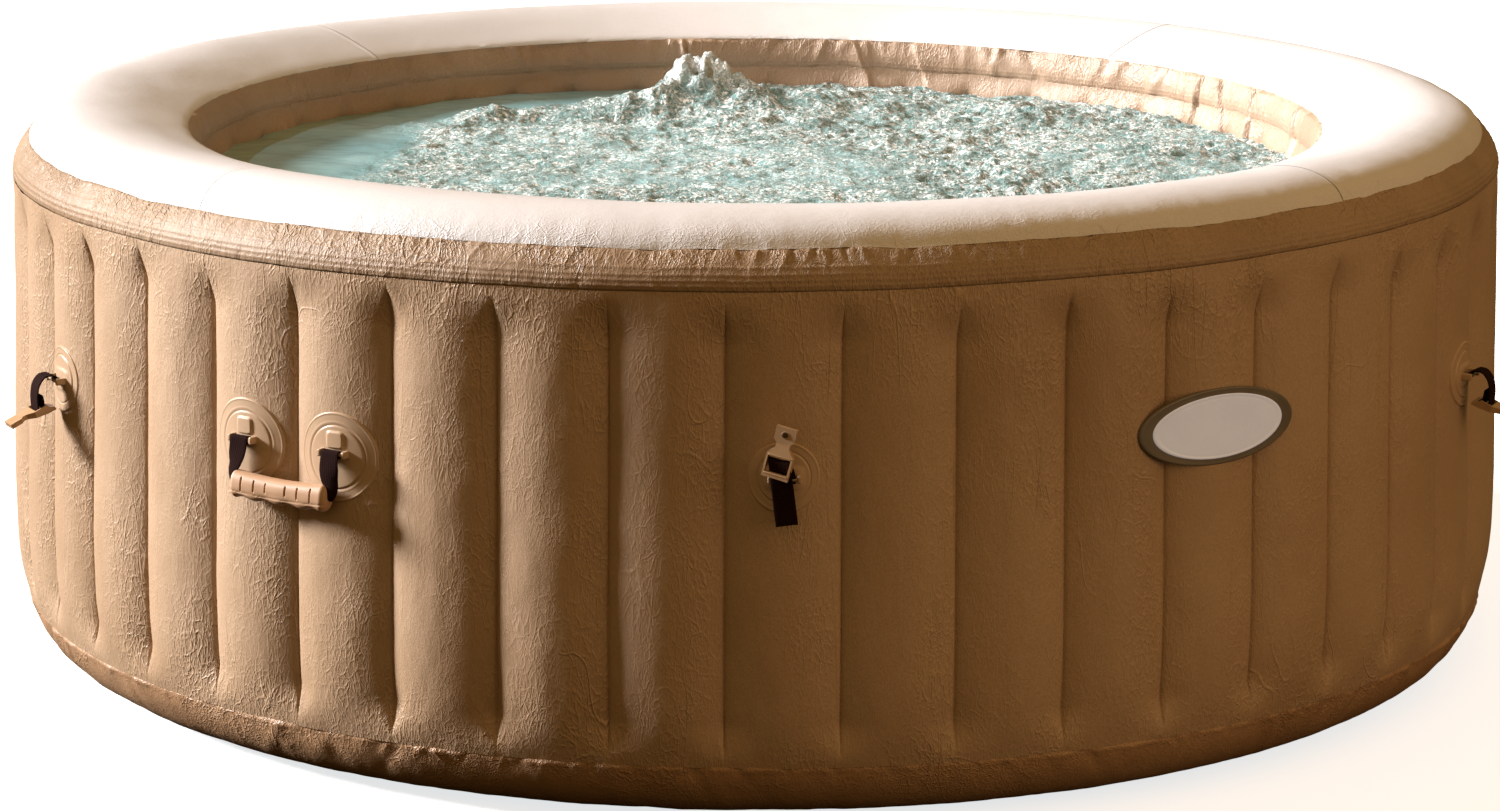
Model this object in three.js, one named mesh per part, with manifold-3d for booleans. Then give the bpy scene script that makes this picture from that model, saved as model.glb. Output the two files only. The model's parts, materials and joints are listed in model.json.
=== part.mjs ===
// A round inflatable hot tub: a drop-stitch style ring chamber of welded vinyl skins, with cover latches,
// carry handles, valves and hose ports. Millimetres, +Z up, origin on the ground at the tub's centre.
// Azimuth 0 is the front (-Y) and grows towards +X. Fittings are drawn facing the front, then turned.
import * as THREE from "three";
import { mergeVertices } from "three/addons/utils/BufferGeometryUtils.js";
import Module from "manifold-3d";

const wasm = await Module();
wasm.setup();

// ---- Driving dimensions -------------------------------------------------------------------------
const HEIGHT = 710; // ground to the top of the rim
const LOBES = 46; // vertical air columns round the wall
const LOBE_DEPTH = 15; // crest to groove, outside
const INNER_LOBE_DEPTH = 12; // crest to groove, on the water side
const SKIN = 2; // one welded vinyl sheet
const GAP = 0.3; // air left between sheets that are welded on the real tub
const FIT_GAP = 0.5; // between the wall and what is welded on it
const WALL_LOW = 80; // height of the bottom weld
const WALL_HIGH = 628; // height of the weld under the rim band
const RIM_WELD = 674; // height of the weld between band and rim
const RIM_OUTER_R = 944.5; // rim's outer weld
const RIM_INNER_R = 742.5; // rim's inner weld
const INNER_WALL_HIGH = 632; // weld under the inner rim band
const INNER_WALL_R = 724; // crests of the inner wall
const GROUND_R = 831; // where the base roll meets the ground
const FLOOR_Z = 4; // underside of the tub's floor
const WEB_LOW = 110; // lower end of the tie webs
const WEB_HIGH = 590; // upper end of the tie webs

// Outer wall at a lobe's crest, as [height, radius]; the lobes fade out at the first and last rows.
const WALL_ROWS = [
  [WALL_LOW, 965],
  [125, 977],
  [600, 969.5],
  [WALL_HIGH, 967],
];
const LATCH_Z = 420; // middle of every latch patch
const HANDLE_Z = 412; // middle of every handle patch
const PIVOT_U = 13; // how far a latch's anchor bar stands off the crest
const HANDLE_PIVOT_U = 11; // and a handle's
const HANDLE_PIVOT_V = 5; // handle bar above the middle of its patch
const BAR_R = 2; // anchor bars and ladder bar
const WEBBING = 2; // thickness of the webbing
const WEBBING_WIDTH = 25;
const LOOP_R = 4.2; // webbing's middle line round a bar

const FRONT_CREST = THREE.MathUtils.degToRad(1.913); // azimuth of the lobe with the front latch
const LOBE_PITCH = (2 * Math.PI) / LOBES;
const WALL_SEGMENTS = LOBES * 3;
const RING_SEGMENTS = 56;
const TURNED_SIDES = 16; // of stubs, caps and other small round pieces

// Lobe numbers, counted from the front latch's lobe towards +X.
const LATCH_LOBES = [0, 8, 15, 23, 31, 38];
const UPRIGHT_LATCH = 1; // the front latch's buckle stands up; the others hang
const HANDLE_LOBES = [-5, 18]; // the left one of each handle's two lobes
const BADGE_LOBE = 4;
const BADGE_Z = 444;
const AIR_VALVE = { lobe: 20, z: 520 };
const DRAIN = { lobe: 23, z: 120 };
const PORTS = [
  { name: "inlet", lobe: 22, z: 230, strainer: true },
  { name: "outlet", lobe: 23, z: 230, strainer: true },
  { name: "air", lobe: 22, z: 340, strainer: false },
];

// ---- Materials ----------------------------------------------------------------------------------
const material = (color, roughness) => new THREE.MeshStandardMaterial({ color, roughness, metalness: 0 });
const vinyl = material(0xb3916d, 0.5);
const bandVinyl = material(0x8c7355, 0.45);
const rimVinyl = material(0xf1e9dd, 0.5);
const floorVinyl = material(0xa88763, 0.55);
const webFabric = material(0xd9d4cb, 0.8);
const clearVinyl = material(0xbb9b77, 0.3);
const webbingFabric = material(0x2a1512, 0.85);
const latchPlastic = material(0xb08d69, 0.4);
const gripPlastic = material(0xd3b08a, 0.45);
const badgeDark = material(0x544738, 0.4);
const badgeLight = material(0xc9bcab, 0.35);
const portPlastic = material(0x6b6259, 0.4);

// ---- Solids -------------------------------------------------------------------------------------
const V2 = (x, y) => new THREE.Vector2(x, y);

// A closed geometry as a manifold-3d solid, turned the right way out.
function solid(geometry) {
  const positions = (geometry.index ? geometry.toNonIndexed() : geometry).getAttribute("position");
  const merged = mergeVertices(new THREE.BufferGeometry().setAttribute("position", positions), 1e-3);
  const old = merged.index.array;
  const kept = [];
  for (let i = 0; i < old.length; i += 3) {
    const [a, b, c] = [old[i], old[i + 1], old[i + 2]];
    if (a !== b && b !== c && c !== a) kept.push(a, b, c);
  }
  const mesh = (triangles) =>
    new wasm.Manifold(
      new wasm.Mesh({
        numProp: 3,
        vertProperties: merged.attributes.position.array,
        triVerts: new Uint32Array(triangles),
      }),
    );
  const made = mesh(kept);
  return made.volume() < 0 ? mesh(kept.reverse()) : made;
}

function geometryOf(made) {
  const { numProp, vertProperties, triVerts } = made.getMesh();
  const position = new Float32Array((vertProperties.length / numProp) * 3);
  for (let i = 0; i < position.length / 3; i++) {
    position.set(vertProperties.subarray(i * numProp, i * numProp + 3), i * 3);
  }
  return new THREE.BufferGeometry()
    .setAttribute("position", new THREE.BufferAttribute(position, 3))
    .setIndex(new THREE.BufferAttribute(triVerts, 1));
}

// A ring or disc about Z from a closed outline of [height, radius].
function turned(outline, segments, start = 0) {
  const points = outline.map(([z, r]) => V2(r, z));
  if (!outline.some(([, r]) => r === 0)) points.push(points[0]);
  return new THREE.LatheGeometry(points, segments, start, 2 * Math.PI).rotateX(Math.PI / 2);
}

// A piece turned about the outward axis (-Y) from an outline of [distance outwards, radius].
function turnedOutwards(outline, segments = TURNED_SIDES) {
  return turned(outline, segments).rotateX(Math.PI / 2);
}

// A sheet whose outer face follows rows of [height, radius].
function sheetOutline(rows, thickness = SKIN) {
  return [...rows, ...rows.map(([z, r]) => [z, r - thickness]).reverse()];
}

// Moves the rows between the ends in or out so that the sheet has a lobe between each pair of grooves.
function lobed(geometry, low, high, shift) {
  const p = geometry.getAttribute("position");
  for (let i = 0; i < p.count; i++) {
    const [x, y, z] = [p.getX(i), p.getY(i), p.getZ(i)];
    const r = Math.hypot(x, y);
    if (r < 1 || z < low + 1 || z > high - 1) continue;
    const turn = Math.atan2(x, -y) / LOBE_PITCH + 0.5;
    const across = turn - Math.floor(turn);
    const groove = 1 - 4 * across * (1 - across);
    p.setX(i, x * (1 + (shift * groove) / r));
    p.setY(i, y * (1 + (shift * groove) / r));
  }
  return geometry;
}

// The space inside the outer wall's face, moved outwards by offset.
function wallFilled(offset) {
  const rows = WALL_ROWS.map(([z, r]) => [z, r + offset]);
  const outline = [[WALL_LOW, 0], ...rows, [WALL_HIGH, 0]];
  return solid(lobed(turned(outline, WALL_SEGMENTS, -LOBE_PITCH / 2), WALL_LOW, WALL_HIGH, -LOBE_DEPTH));
}
const wallFace = wallFilled(FIT_GAP);

// Distance from the tub's axis to the flat strip along a lobe's crest.
function crestDistance(z) {
  const upper = WALL_ROWS.findIndex(([rowZ]) => rowZ >= z);
  const [[z0, r0], [z1, r1]] = [WALL_ROWS[upper - 1], WALL_ROWS[upper]];
  const crest = r0 + ((z - z0) / (z1 - z0)) * (r1 - r0);
  return (crest - LOBE_DEPTH / 9) * Math.cos(LOBE_PITCH / 6);
}

// A shape in the (outwards, up) plane, as wide as width along X.
function sideExtrusion(shape, width, curveSegments = 6) {
  const made = new THREE.ExtrudeGeometry(shape, { depth: width, bevelEnabled: false, curveSegments });
  return made.applyMatrix4(new THREE.Matrix4().set(0, 0, -1, width / 2, -1, 0, 0, 0, 0, 1, 0, 0, 0, 0, 0, 1));
}

// A shape in the (X, up) plane, from near to far outwards.
function frontExtrusion(shape, near, far, curveSegments = 6) {
  const made = new THREE.ExtrudeGeometry(shape, { depth: far - near, bevelEnabled: false, curveSegments });
  return made.applyMatrix4(new THREE.Matrix4().set(1, 0, 0, 0, 0, 0, -1, -near, 0, 1, 0, 0, 0, 0, 0, 1));
}

// A cylinder along X, centred at (outwards, up).
function barAlongX(u, v, radius, width, sides = 6) {
  const made = new THREE.CylinderGeometry(radius, radius, width, sides).rotateZ(Math.PI / 2);
  return solid(made.translate(0, -u, v));
}

// A cylinder along the outward axis, from near to far.
function barOutwards(radius, near, far, sides = TURNED_SIDES) {
  const made = new THREE.CylinderGeometry(radius, radius, far - near, sides);
  return solid(made.translate(0, -(near + far) / 2, 0));
}

function block(width, near, far, low, high, x = 0) {
  const box = new THREE.BoxGeometry(width, far - near, high - low);
  return solid(box.translate(x, -(near + far) / 2, (low + high) / 2));
}

function shapeOf(points) {
  return new THREE.Shape(points.map(([x, y]) => V2(x, y)));
}

function ellipseShape(a, b) {
  return new THREE.Shape().absellipse(0, 0, a, b, 0, 2 * Math.PI);
}

// Webbing's edge view: a strip along a smooth line through points of [outwards, up].
function ribbon(points, steps) {
  const line = new THREE.SplineCurve(points.map(([u, v]) => V2(u, v)));
  const sides = [[], []];
  for (let i = 0; i <= steps; i++) {
    const at = line.getPointAt(i / steps);
    const along = line.getTangentAt(i / steps);
    const across = V2(-along.y, along.x).multiplyScalar(WEBBING / 2);
    sides[0].push(at.clone().add(across));
    sides[1].unshift(at.clone().sub(across));
  }
  return solid(sideExtrusion(new THREE.Shape([...sides[0], ...sides[1]]), WEBBING_WIDTH));
}

// Webbing sewn into a loop round a bar at (outwards, up).
function webbingLoop(u, v) {
  const ring = new THREE.Shape().absarc(u, v, LOOP_R + WEBBING / 2, 0, 2 * Math.PI);
  ring.holes.push(new THREE.Path().absarc(u, v, LOOP_R - WEBBING / 2, 0, 2 * Math.PI));
  return solid(sideExtrusion(ring, WEBBING_WIDTH, 4));
}

// ---- The object's tree --------------------------------------------------------------------------
const tub = new THREE.Group();
tub.rotation.z = FRONT_CREST;

function piece(parent, name, made, look) {
  const closed = made instanceof THREE.BufferGeometry ? solid(made) : made;
  const mesh = new THREE.Mesh(geometryOf(closed), look);
  mesh.name = name;
  parent.add(mesh);
  return mesh;
}

// A group turned to a lobe, and standing on its crest at a height when one is given.
function atLobe(lobe, z) {
  const turn = new THREE.Group();
  turn.rotation.z = lobe * LOBE_PITCH;
  tub.add(turn);
  if (z === undefined) return turn;
  const seat = new THREE.Group();
  seat.position.set(0, -crestDistance(z), z);
  turn.add(seat);
  return seat;
}

// A solid drawn on a crest at height z, as the tub sees it with that crest at the front.
const movedOut = (made, z) => made.translate([0, -crestDistance(z), z]);
const movedIn = (made, z) => made.translate([0, crestDistance(z), -z]);

// What is left of a solid drawn on a crest once it is laid on the wall, no thicker than thickness.
function laidOnWall(made, z, thickness) {
  const outer = wallFilled(FIT_GAP + thickness);
  return movedIn(movedOut(made, z).intersect(outer).subtract(wallFace), z);
}

// ---- The chamber's skins ------------------------------------------------------------------------
// Holes that the fittings need through the walls: each is a cylinder along its lobe's outward axis.
function wallHole(lobe, z, radius) {
  const bar = new THREE.CylinderGeometry(radius, radius, 400, 16).translate(0, -850, 0);
  return solid(bar.translate(0, 0, z).rotateZ(lobe * LOBE_PITCH));
}
const VALVE_HOLE_R = 15;
const DRAIN_HOLE_R = 17.5;
const PORT_HOLE_R = 29;
const throughHoles = [
  wallHole(DRAIN.lobe, DRAIN.z, DRAIN_HOLE_R),
  ...PORTS.map(({ lobe, z }) => wallHole(lobe, z, PORT_HOLE_R)),
];
const cut = (made, holes) => holes.reduce((left, hole) => left.subtract(hole), made);

function outerWall() {
  const sheet = turned(sheetOutline(WALL_ROWS), WALL_SEGMENTS, -LOBE_PITCH / 2);
  const wall = solid(lobed(sheet, WALL_LOW, WALL_HIGH, -LOBE_DEPTH));
  return cut(wall, [...throughHoles, wallHole(AIR_VALVE.lobe, AIR_VALVE.z, VALVE_HOLE_R)]);
}

function innerWall() {
  const low = FLOOR_Z + SKIN + GAP;
  const rows = [
    [low, INNER_WALL_R],
    [600, INNER_WALL_R],
    [INNER_WALL_HIGH, 733],
  ].map(([z, r]) => [z, r + SKIN]);
  const sheet = turned(sheetOutline(rows), LOBES * 2, -LOBE_PITCH / 2);
  return cut(solid(lobed(sheet, 0, INNER_WALL_HIGH, INNER_LOBE_DEPTH)), throughHoles);
}

// The rim is four sheets, welded end to end over the top of the chamber.
function rimRing() {
  const steps = 4;
  const half = (RIM_OUTER_R - RIM_INNER_R) / 2;
  const rise = HEIGHT - RIM_WELD;
  const arcR = (half * half + rise * rise) / (2 * rise);
  const sweep = Math.asin(half / arcR);
  const arc = (radius) =>
    Array.from({ length: steps + 1 }, (_, i) => {
      const a = sweep - (2 * sweep * i) / steps;
      return [HEIGHT - arcR + radius * Math.cos(a), (RIM_OUTER_R + RIM_INNER_R) / 2 + radius * Math.sin(a)];
    });
  return solid(turned([...arc(arcR), ...arc(arcR - SKIN).reverse()], RING_SEGMENTS));
}

function quarter(index) {
  const reach = 1500;
  const halfGap = GAP / 2;
  const corner = shapeOf([
    [halfGap, halfGap],
    [reach, halfGap],
    [reach, reach],
    [halfGap, reach],
  ]);
  const made = new THREE.ExtrudeGeometry(corner, { depth: HEIGHT * 2, bevelEnabled: false });
  return solid(made.rotateZ((index * Math.PI) / 2 + Math.PI / 4));
}

function baseRoll() {
  const outside = [
    [WALL_LOW - GAP, 965],
    [38, 949],
    [9, 897],
    [0, GROUND_R],
  ];
  const inside = [
    [SKIN, GROUND_R],
    [9 + SKIN, 896],
    [38 + SKIN / 2, 947],
    [WALL_LOW - GAP, 965 - SKIN],
  ];
  return turned([...outside, ...inside], RING_SEGMENTS);
}

function disc(radius, low, high) {
  const circle = new THREE.Shape().absarc(0, 0, radius, 0, 2 * Math.PI);
  const shape = { depth: high - low, bevelEnabled: false, curveSegments: RING_SEGMENTS / 2 };
  return new THREE.ExtrudeGeometry(circle, shape).translate(0, 0, low);
}

// The porous channel that lets the bubbles out, welded round the floor.
function bubbleChannel() {
  const low = FLOOR_Z + SKIN + GAP;
  return turned(
    [
      [low, 690],
      [26, 672],
      [26, 618],
      [low, 600],
    ],
    RING_SEGMENTS,
  );
}

// Radial webs that tie the two walls together at every groove, on one backing sheet.
function tieWebs() {
  const outerR = 951;
  const backR = INNER_WALL_R + INNER_LOBE_DEPTH + SKIN + 1;
  const halfWeb = 0.6;
  const outline = [];
  for (let i = 0; i < LOBES; i++) {
    const middle = (i + 0.5) * LOBE_PITCH;
    for (const [radius, side] of [
      [backR + SKIN, -1],
      [outerR, -1],
      [outerR, 1],
      [backR + SKIN, 1],
    ]) {
      const a = middle + (side * halfWeb) / radius;
      outline.push([radius * Math.sin(a), -radius * Math.cos(a)]);
    }
  }
  const gear = shapeOf(outline);
  const hole = Array.from({ length: LOBES }, (_, i) => {
    const a = -(i + 0.5) * LOBE_PITCH;
    return V2(backR * Math.sin(a), -backR * Math.cos(a));
  });
  gear.holes.push(new THREE.Path(hole));
  const made = new THREE.ExtrudeGeometry(gear, { depth: WEB_HIGH - WEB_LOW, bevelEnabled: false });
  return cut(solid(made.translate(0, 0, WEB_LOW)), throughHoles);
}

piece(tub, "outer_wall", outerWall(), vinyl);
const outerBand = sheetOutline([
  [WALL_HIGH + GAP, 967],
  [RIM_WELD - SKIN - GAP, RIM_OUTER_R + 0.5],
]);
piece(tub, "outer_rim_band", turned(outerBand, RING_SEGMENTS), bandVinyl);
const rim = rimRing();
for (let i = 0; i < 4; i++) piece(tub, `rim_panel_${i + 1}`, rim.intersect(quarter(i)), rimVinyl);
const innerBand = sheetOutline([
  [INNER_WALL_HIGH + GAP, 735],
  [RIM_WELD - SKIN - GAP, RIM_INNER_R + SKIN],
]);
piece(tub, "inner_rim_band", turned(innerBand, RING_SEGMENTS), bandVinyl);
piece(tub, "inner_wall", innerWall(), vinyl);
piece(tub, "base_roll", baseRoll(), vinyl);
piece(tub, "ground_sheet", disc(GROUND_R - 2, 0, SKIN), floorVinyl);
piece(tub, "tub_floor", disc(INNER_WALL_R + SKIN, FLOOR_Z, FLOOR_Z + SKIN), floorVinyl);
piece(tub, "bubble_channel", bubbleChannel(), clearVinyl);
piece(tub, "tie_webs", tieWebs(), webFabric);

// ---- Patches ------------------------------------------------------------------------------------
// A round patch welded on a crest, with a raised middle and a bar between two posts for the webbing.
function patch({ z, radius, middleR, barU, barV, boss }) {
  const base = laidOnWall(barOutwards(radius, -30, 30), z, 2);
  const middle = movedIn(movedOut(barOutwards(middleR, -20, 5, 12), z).subtract(wallFace), z);
  let made = base.add(middle);
  for (const side of [-1, 1]) {
    made = made.add(block(4, 3, barU + 3, barV - 4, barV + 4, side * 16.5));
  }
  made = made.add(barAlongX(barU, barV, BAR_R, 33));
  return boss ? made.add(block(20, 3, 6.5, barV + 8, barV + 24)) : made;
}
const latchPatch = patch({ z: LATCH_Z, radius: 41, middleR: 30, barU: PIVOT_U, barV: 0, boss: false });
const handlePatch = patch({
  z: HANDLE_Z,
  radius: 52.5,
  middleR: 37,
  barU: HANDLE_PIVOT_U,
  barV: HANDLE_PIVOT_V,
  boss: true,
});

// ---- Latches ------------------------------------------------------------------------------------
// The buckle is drawn upright, with its ladder bar at (LADDER_U, LADDER_V) from the middle of the patch.
const LADDER_U = 22.5;
const LADDER_V = 20;
const LOCK_V = 54;
const LOCK_R = 3.2;

function buckle() {
  const front = shapeOf([
    [-15.5, 4],
    [15.5, 4],
    [15.5, 30],
    [8, 39],
    [8, 44],
    [12, 47.5],
    [12, 62.5],
    [-12, 62.5],
    [-12, 47.5],
    [-8, 44],
    [-8, 39],
    [-15.5, 30],
  ]);
  front.holes.push(new THREE.Path([V2(-13.3, 9.5), V2(-13.3, 28), V2(13.3, 28), V2(13.3, 9.5)]));
  const side = shapeOf([
    [27, 4],
    [31, 4],
    [30.5, 15],
    [25.5, 43],
    [25.5, 62.5],
    [19.5, 62.5],
    [20, 14],
    [25, 9],
  ]);
  const body = solid(frontExtrusion(front, 10, 40)).intersect(solid(sideExtrusion(side, 40)));
  const seat = barOutwards(LOCK_R + 0.4, 22.6, 40, 10).translate([0, 0, LOCK_V]);
  return body.add(barAlongX(LADDER_U, LADDER_V, BAR_R, 28)).subtract(seat);
}

// The turn lock in the buckle's head, with its key slot.
function lockCore() {
  const core = barOutwards(LOCK_R, 23, 26.6, 10);
  return core.subtract(block(1.2, 25.6, 30, -2.4, 2.4)).translate([0, 0, LOCK_V]);
}

// Up from the anchor, over the ladder bar and down again, with its free end in front of the anchor.
function uprightStrap() {
  const line = [
    [PIVOT_U + LOOP_R, 0],
    [17.4, 11],
    [18.3, LADDER_V],
    [LADDER_U, LADDER_V + LOOP_R],
    [26.7, LADDER_V],
    [25.2, 13.5],
    [22.4, 7],
    [21.6, -6],
    [21.4, -28],
    [21.6, -53],
  ];
  return webbingLoop(PIVOT_U, 0).add(ribbon(line, 20));
}

// Out over the top of the anchor and down to a buckle that hangs from a sewn loop.
const HANG_U = 34;
const HANG_V = -33;
const HANG_TURN = THREE.MathUtils.degToRad(115); // from the upright buckle to the hanging one, outwards and down
function hangingStrap() {
  const line = [
    [PIVOT_U, LOOP_R],
    [19, 7.5],
    [28.5, 6],
    [35.5, -3],
    [38.2, -15],
    [HANG_U + LOOP_R, HANG_V],
  ];
  return webbingLoop(PIVOT_U, 0).add(ribbon(line, 10)).add(webbingLoop(HANG_U, HANG_V));
}

const buckleSolid = buckle();
const lockSolid = lockCore();
const upright = uprightStrap();
const hanging = hangingStrap();
LATCH_LOBES.forEach((lobe, index) => {
  const number = index + 1;
  const seat = atLobe(lobe, LATCH_Z);
  const stands = number === UPRIGHT_LATCH;
  piece(seat, `latch_${number}_patch`, latchPatch, clearVinyl);
  piece(seat, `latch_${number}_strap`, stands ? upright : hanging, webbingFabric);
  // The buckle and its lock turn about the ladder bar.
  const pivot = new THREE.Group();
  const [u, v] = stands ? [LADDER_U, LADDER_V] : [HANG_U, HANG_V];
  pivot.position.set(0, -u, v);
  pivot.rotation.x = stands ? 0 : HANG_TURN;
  seat.add(pivot);
  const held = new THREE.Group();
  held.position.set(0, LADDER_U, -LADDER_V);
  pivot.add(held);
  piece(held, `latch_${number}_buckle`, buckleSolid, latchPlastic);
  piece(held, `latch_${number}_lock`, lockSolid, latchPlastic);
});

// ---- Carry handles ------------------------------------------------------------------------------
// Webbing hangs from two patches on neighbouring lobes and runs through a moulded grip.
const HANDLE_LEAN = THREE.MathUtils.degToRad(7); // the grip stands off the wall
const GRIP_HALF = 70;
const GRIP_DROP = 51; // bar to the grip's middle
const barReach = crestDistance(HANDLE_Z) + HANDLE_PIVOT_U;
const BAR_X = barReach * Math.sin(LOBE_PITCH / 2);
const BAR_Y = -barReach * Math.cos(LOBE_PITCH / 2);

function handleWebbing() {
  const [inner, outer] = [BAR_X - WEBBING_WIDTH / 2, BAR_X + WEBBING_WIDTH / 2];
  const side = (s) => [
    [s * outer, -GRIP_DROP - 5],
    [s * outer, 0],
    [s * inner, 0],
    [s * inner, -9],
    [s * (GRIP_HALF + 1.6), -30],
    [s * (GRIP_HALF + 1.6), -GRIP_DROP + 5],
  ];
  const outline = shapeOf([...side(1), ...side(-1).reverse()]);
  let made = solid(frontExtrusion(outline, LOOP_R - WEBBING / 2, LOOP_R + WEBBING / 2));
  for (const s of [-1, 1]) made = made.add(webbingLoop(0, 0).translate([s * BAR_X, 0, 0]));
  return made;
}

function grip() {
  const fingers = 4;
  const top = [];
  const bottom = [];
  for (let i = 0; i <= 12; i++) {
    const x = -GRIP_HALF + (2 * GRIP_HALF * i) / 12;
    const end = Math.abs(x / GRIP_HALF);
    const corner = end > 0.93 ? 5 : 0;
    top.push([x, 13 + 4 * end * end - corner]);
    bottom.push([x, -16.5 + 1.2 * Math.cos(fingers * Math.PI * (x / GRIP_HALF)) + corner]);
  }
  const front = solid(frontExtrusion(shapeOf([...bottom, ...top.reverse()]), -20, 20));
  const round = solid(sideExtrusion(ellipseShape(13, 19), 2 * GRIP_HALF + 10, 5));
  return front.intersect(round).subtract(block(2 * GRIP_HALF + 10, -2.6, 2.6, -7, 7));
}

const webbingU = handleWebbing();
const gripSolid = grip();
HANDLE_LOBES.forEach((lobe, index) => {
  const name = `handle_${index + 1}`;
  piece(atLobe(lobe, HANDLE_Z), `${name}_left_patch`, handlePatch, clearVinyl);
  piece(atLobe(lobe + 1, HANDLE_Z), `${name}_right_patch`, handlePatch, clearVinyl);
  const pivot = new THREE.Group();
  pivot.position.set(0, BAR_Y, HANDLE_Z + HANDLE_PIVOT_V);
  pivot.rotation.x = -HANDLE_LEAN;
  atLobe(lobe + 0.5).add(pivot);
  piece(pivot, `${name}_webbing`, webbingU, webbingFabric);
  piece(pivot, `${name}_grip`, gripSolid, gripPlastic).position.set(0, -LOOP_R, -GRIP_DROP);
});

// ---- Badge --------------------------------------------------------------------------------------
// A plain oval plate, curved to the wall, with a light oval face. It carries no lettering.
function ovalPlate(a, b, near, far) {
  const ring = solid(
    turned(
      [
        [-60, near],
        [-60, far],
        [60, far],
        [60, near],
      ],
      138,
      Math.PI / 138,
    ),
  );
  return ring.intersect(solid(frontExtrusion(ellipseShape(a, b), 800, 1100, 10)));
}
const badgeR = crestDistance(BADGE_Z) + 2.2;
const badgeSeat = new THREE.Group();
badgeSeat.position.z = BADGE_Z;
atLobe(BADGE_LOBE).add(badgeSeat);
piece(badgeSeat, "badge_plate", ovalPlate(113, 45, badgeR, badgeR + 1.5), badgeDark);
piece(badgeSeat, "badge_face", ovalPlate(94, 38, badgeR + 1.5 + GAP, badgeR + 2.8), badgeLight);

// ---- Air valve ----------------------------------------------------------------------------------
function airValveBody(z) {
  const flange = laidOnWall(barOutwards(30, -20, 20), z, 2.5).subtract(barOutwards(12.5, -30, 30));
  const tube = turnedOutwards([
    [-4, 8],
    [-4, 14],
    [14, 14],
    [14, 12],
    [-2, 12],
    [-2, 8],
  ]);
  let made = flange.add(solid(tube));
  // A spider holds the stem in the middle of the throat.
  for (let i = 0; i < 3; i++) {
    const spoke = block(2, 3, 6, 0, 12.6);
    made = made.add(spoke.rotate([0, 120 * i, 0]));
  }
  return made.add(barOutwards(5.5, 3, 6, 10)).subtract(barOutwards(3.2, 0, 20, 10));
}
function airValveStem() {
  return turnedOutwards(
    [
      [-7, 0],
      [-7, 10],
      [-4.4, 10],
      [-4.4, 2.6],
      [10, 2.6],
      [10, 5],
      [12.6, 5],
      [12.6, 0],
    ],
    12,
  );
}
function screwCap(collarR, near, far, wall = 2.6, top = 2.4) {
  const bore = collarR / Math.cos(Math.PI / TURNED_SIDES) + GAP; // clears the stub's corners at any turn
  return turnedOutwards([
    [far, 0],
    [far, bore + wall],
    [near, bore + wall],
    [near, bore],
    [far - top, bore],
    [far - top, 0],
  ]);
}
const valveSeat = atLobe(AIR_VALVE.lobe, AIR_VALVE.z);
piece(valveSeat, "air_valve_body", airValveBody(AIR_VALVE.z), portPlastic);
piece(valveSeat, "air_valve_stem", airValveStem(), latchPlastic);
piece(valveSeat, "air_valve_cap", screwCap(14, 5, 17.5), portPlastic);

// ---- Ports through the wall ---------------------------------------------------------------------
// A flanged tube from the outside to the water side, where a strainer can be screwed on.
function throughPort({ z, bore, tube, flangeR, stub, innerR }) {
  const flange = laidOnWall(barOutwards(flangeR, -40, 40), z, 3);
  const inner = innerR - crestDistance(z);
  return flange.add(barOutwards(tube, inner, stub)).subtract(barOutwards(bore, inner - 1, stub + 1));
}
function strainer() {
  const plate = new THREE.Shape().absarc(0, 0, 40, 0, 2 * Math.PI);
  for (let i = -1; i <= 1; i++) {
    const half = 25 - 4 * Math.abs(i);
    const [low, high] = [i * 14 - 4, i * 14 + 4];
    plate.holes.push(new THREE.Path([V2(-half, low), V2(-half, high), V2(half, high), V2(half, low)]));
  }
  const skirt = turnedOutwards([
    [0, 28.4],
    [0, 40],
    [14, 40],
    [14, 28.4],
  ]);
  return solid(skirt).add(solid(frontExtrusion(plate, 0, 3, 8)));
}
const DRAIN_FIT = { bore: 13, tube: 17, flangeR: 34, stub: 22, innerR: INNER_WALL_R - 3 };
const drainSeat = atLobe(DRAIN.lobe, DRAIN.z);
piece(drainSeat, "drain_valve_body", throughPort({ z: DRAIN.z, ...DRAIN_FIT }), portPlastic);
piece(drainSeat, "drain_valve_cap", screwCap(DRAIN_FIT.tube, 8, 26), portPlastic);

const PORT_FIT = { bore: 25, tube: 28, flangeR: 48, stub: 32, innerR: INNER_WALL_R - 22 };
for (const { name, lobe, z, strainer: hasStrainer } of PORTS) {
  const seat = atLobe(lobe, z);
  piece(seat, `${name}_port`, throughPort({ z, ...PORT_FIT }), portPlastic);
  piece(seat, `${name}_port_cap`, screwCap(PORT_FIT.tube, 10, 37, 4, 3), portPlastic);
  if (!hasStrainer) continue;
  const back = PORT_FIT.innerR - crestDistance(z) - 4;
  piece(seat, `${name}_strainer`, strainer(), portPlastic).position.y = -back;
}

const hotTub = new THREE.Group();
hotTub.add(tub);
export default hotTub;
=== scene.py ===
import json
import math

import bpy
import numpy as np
from mathutils import Matrix, Vector


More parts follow.
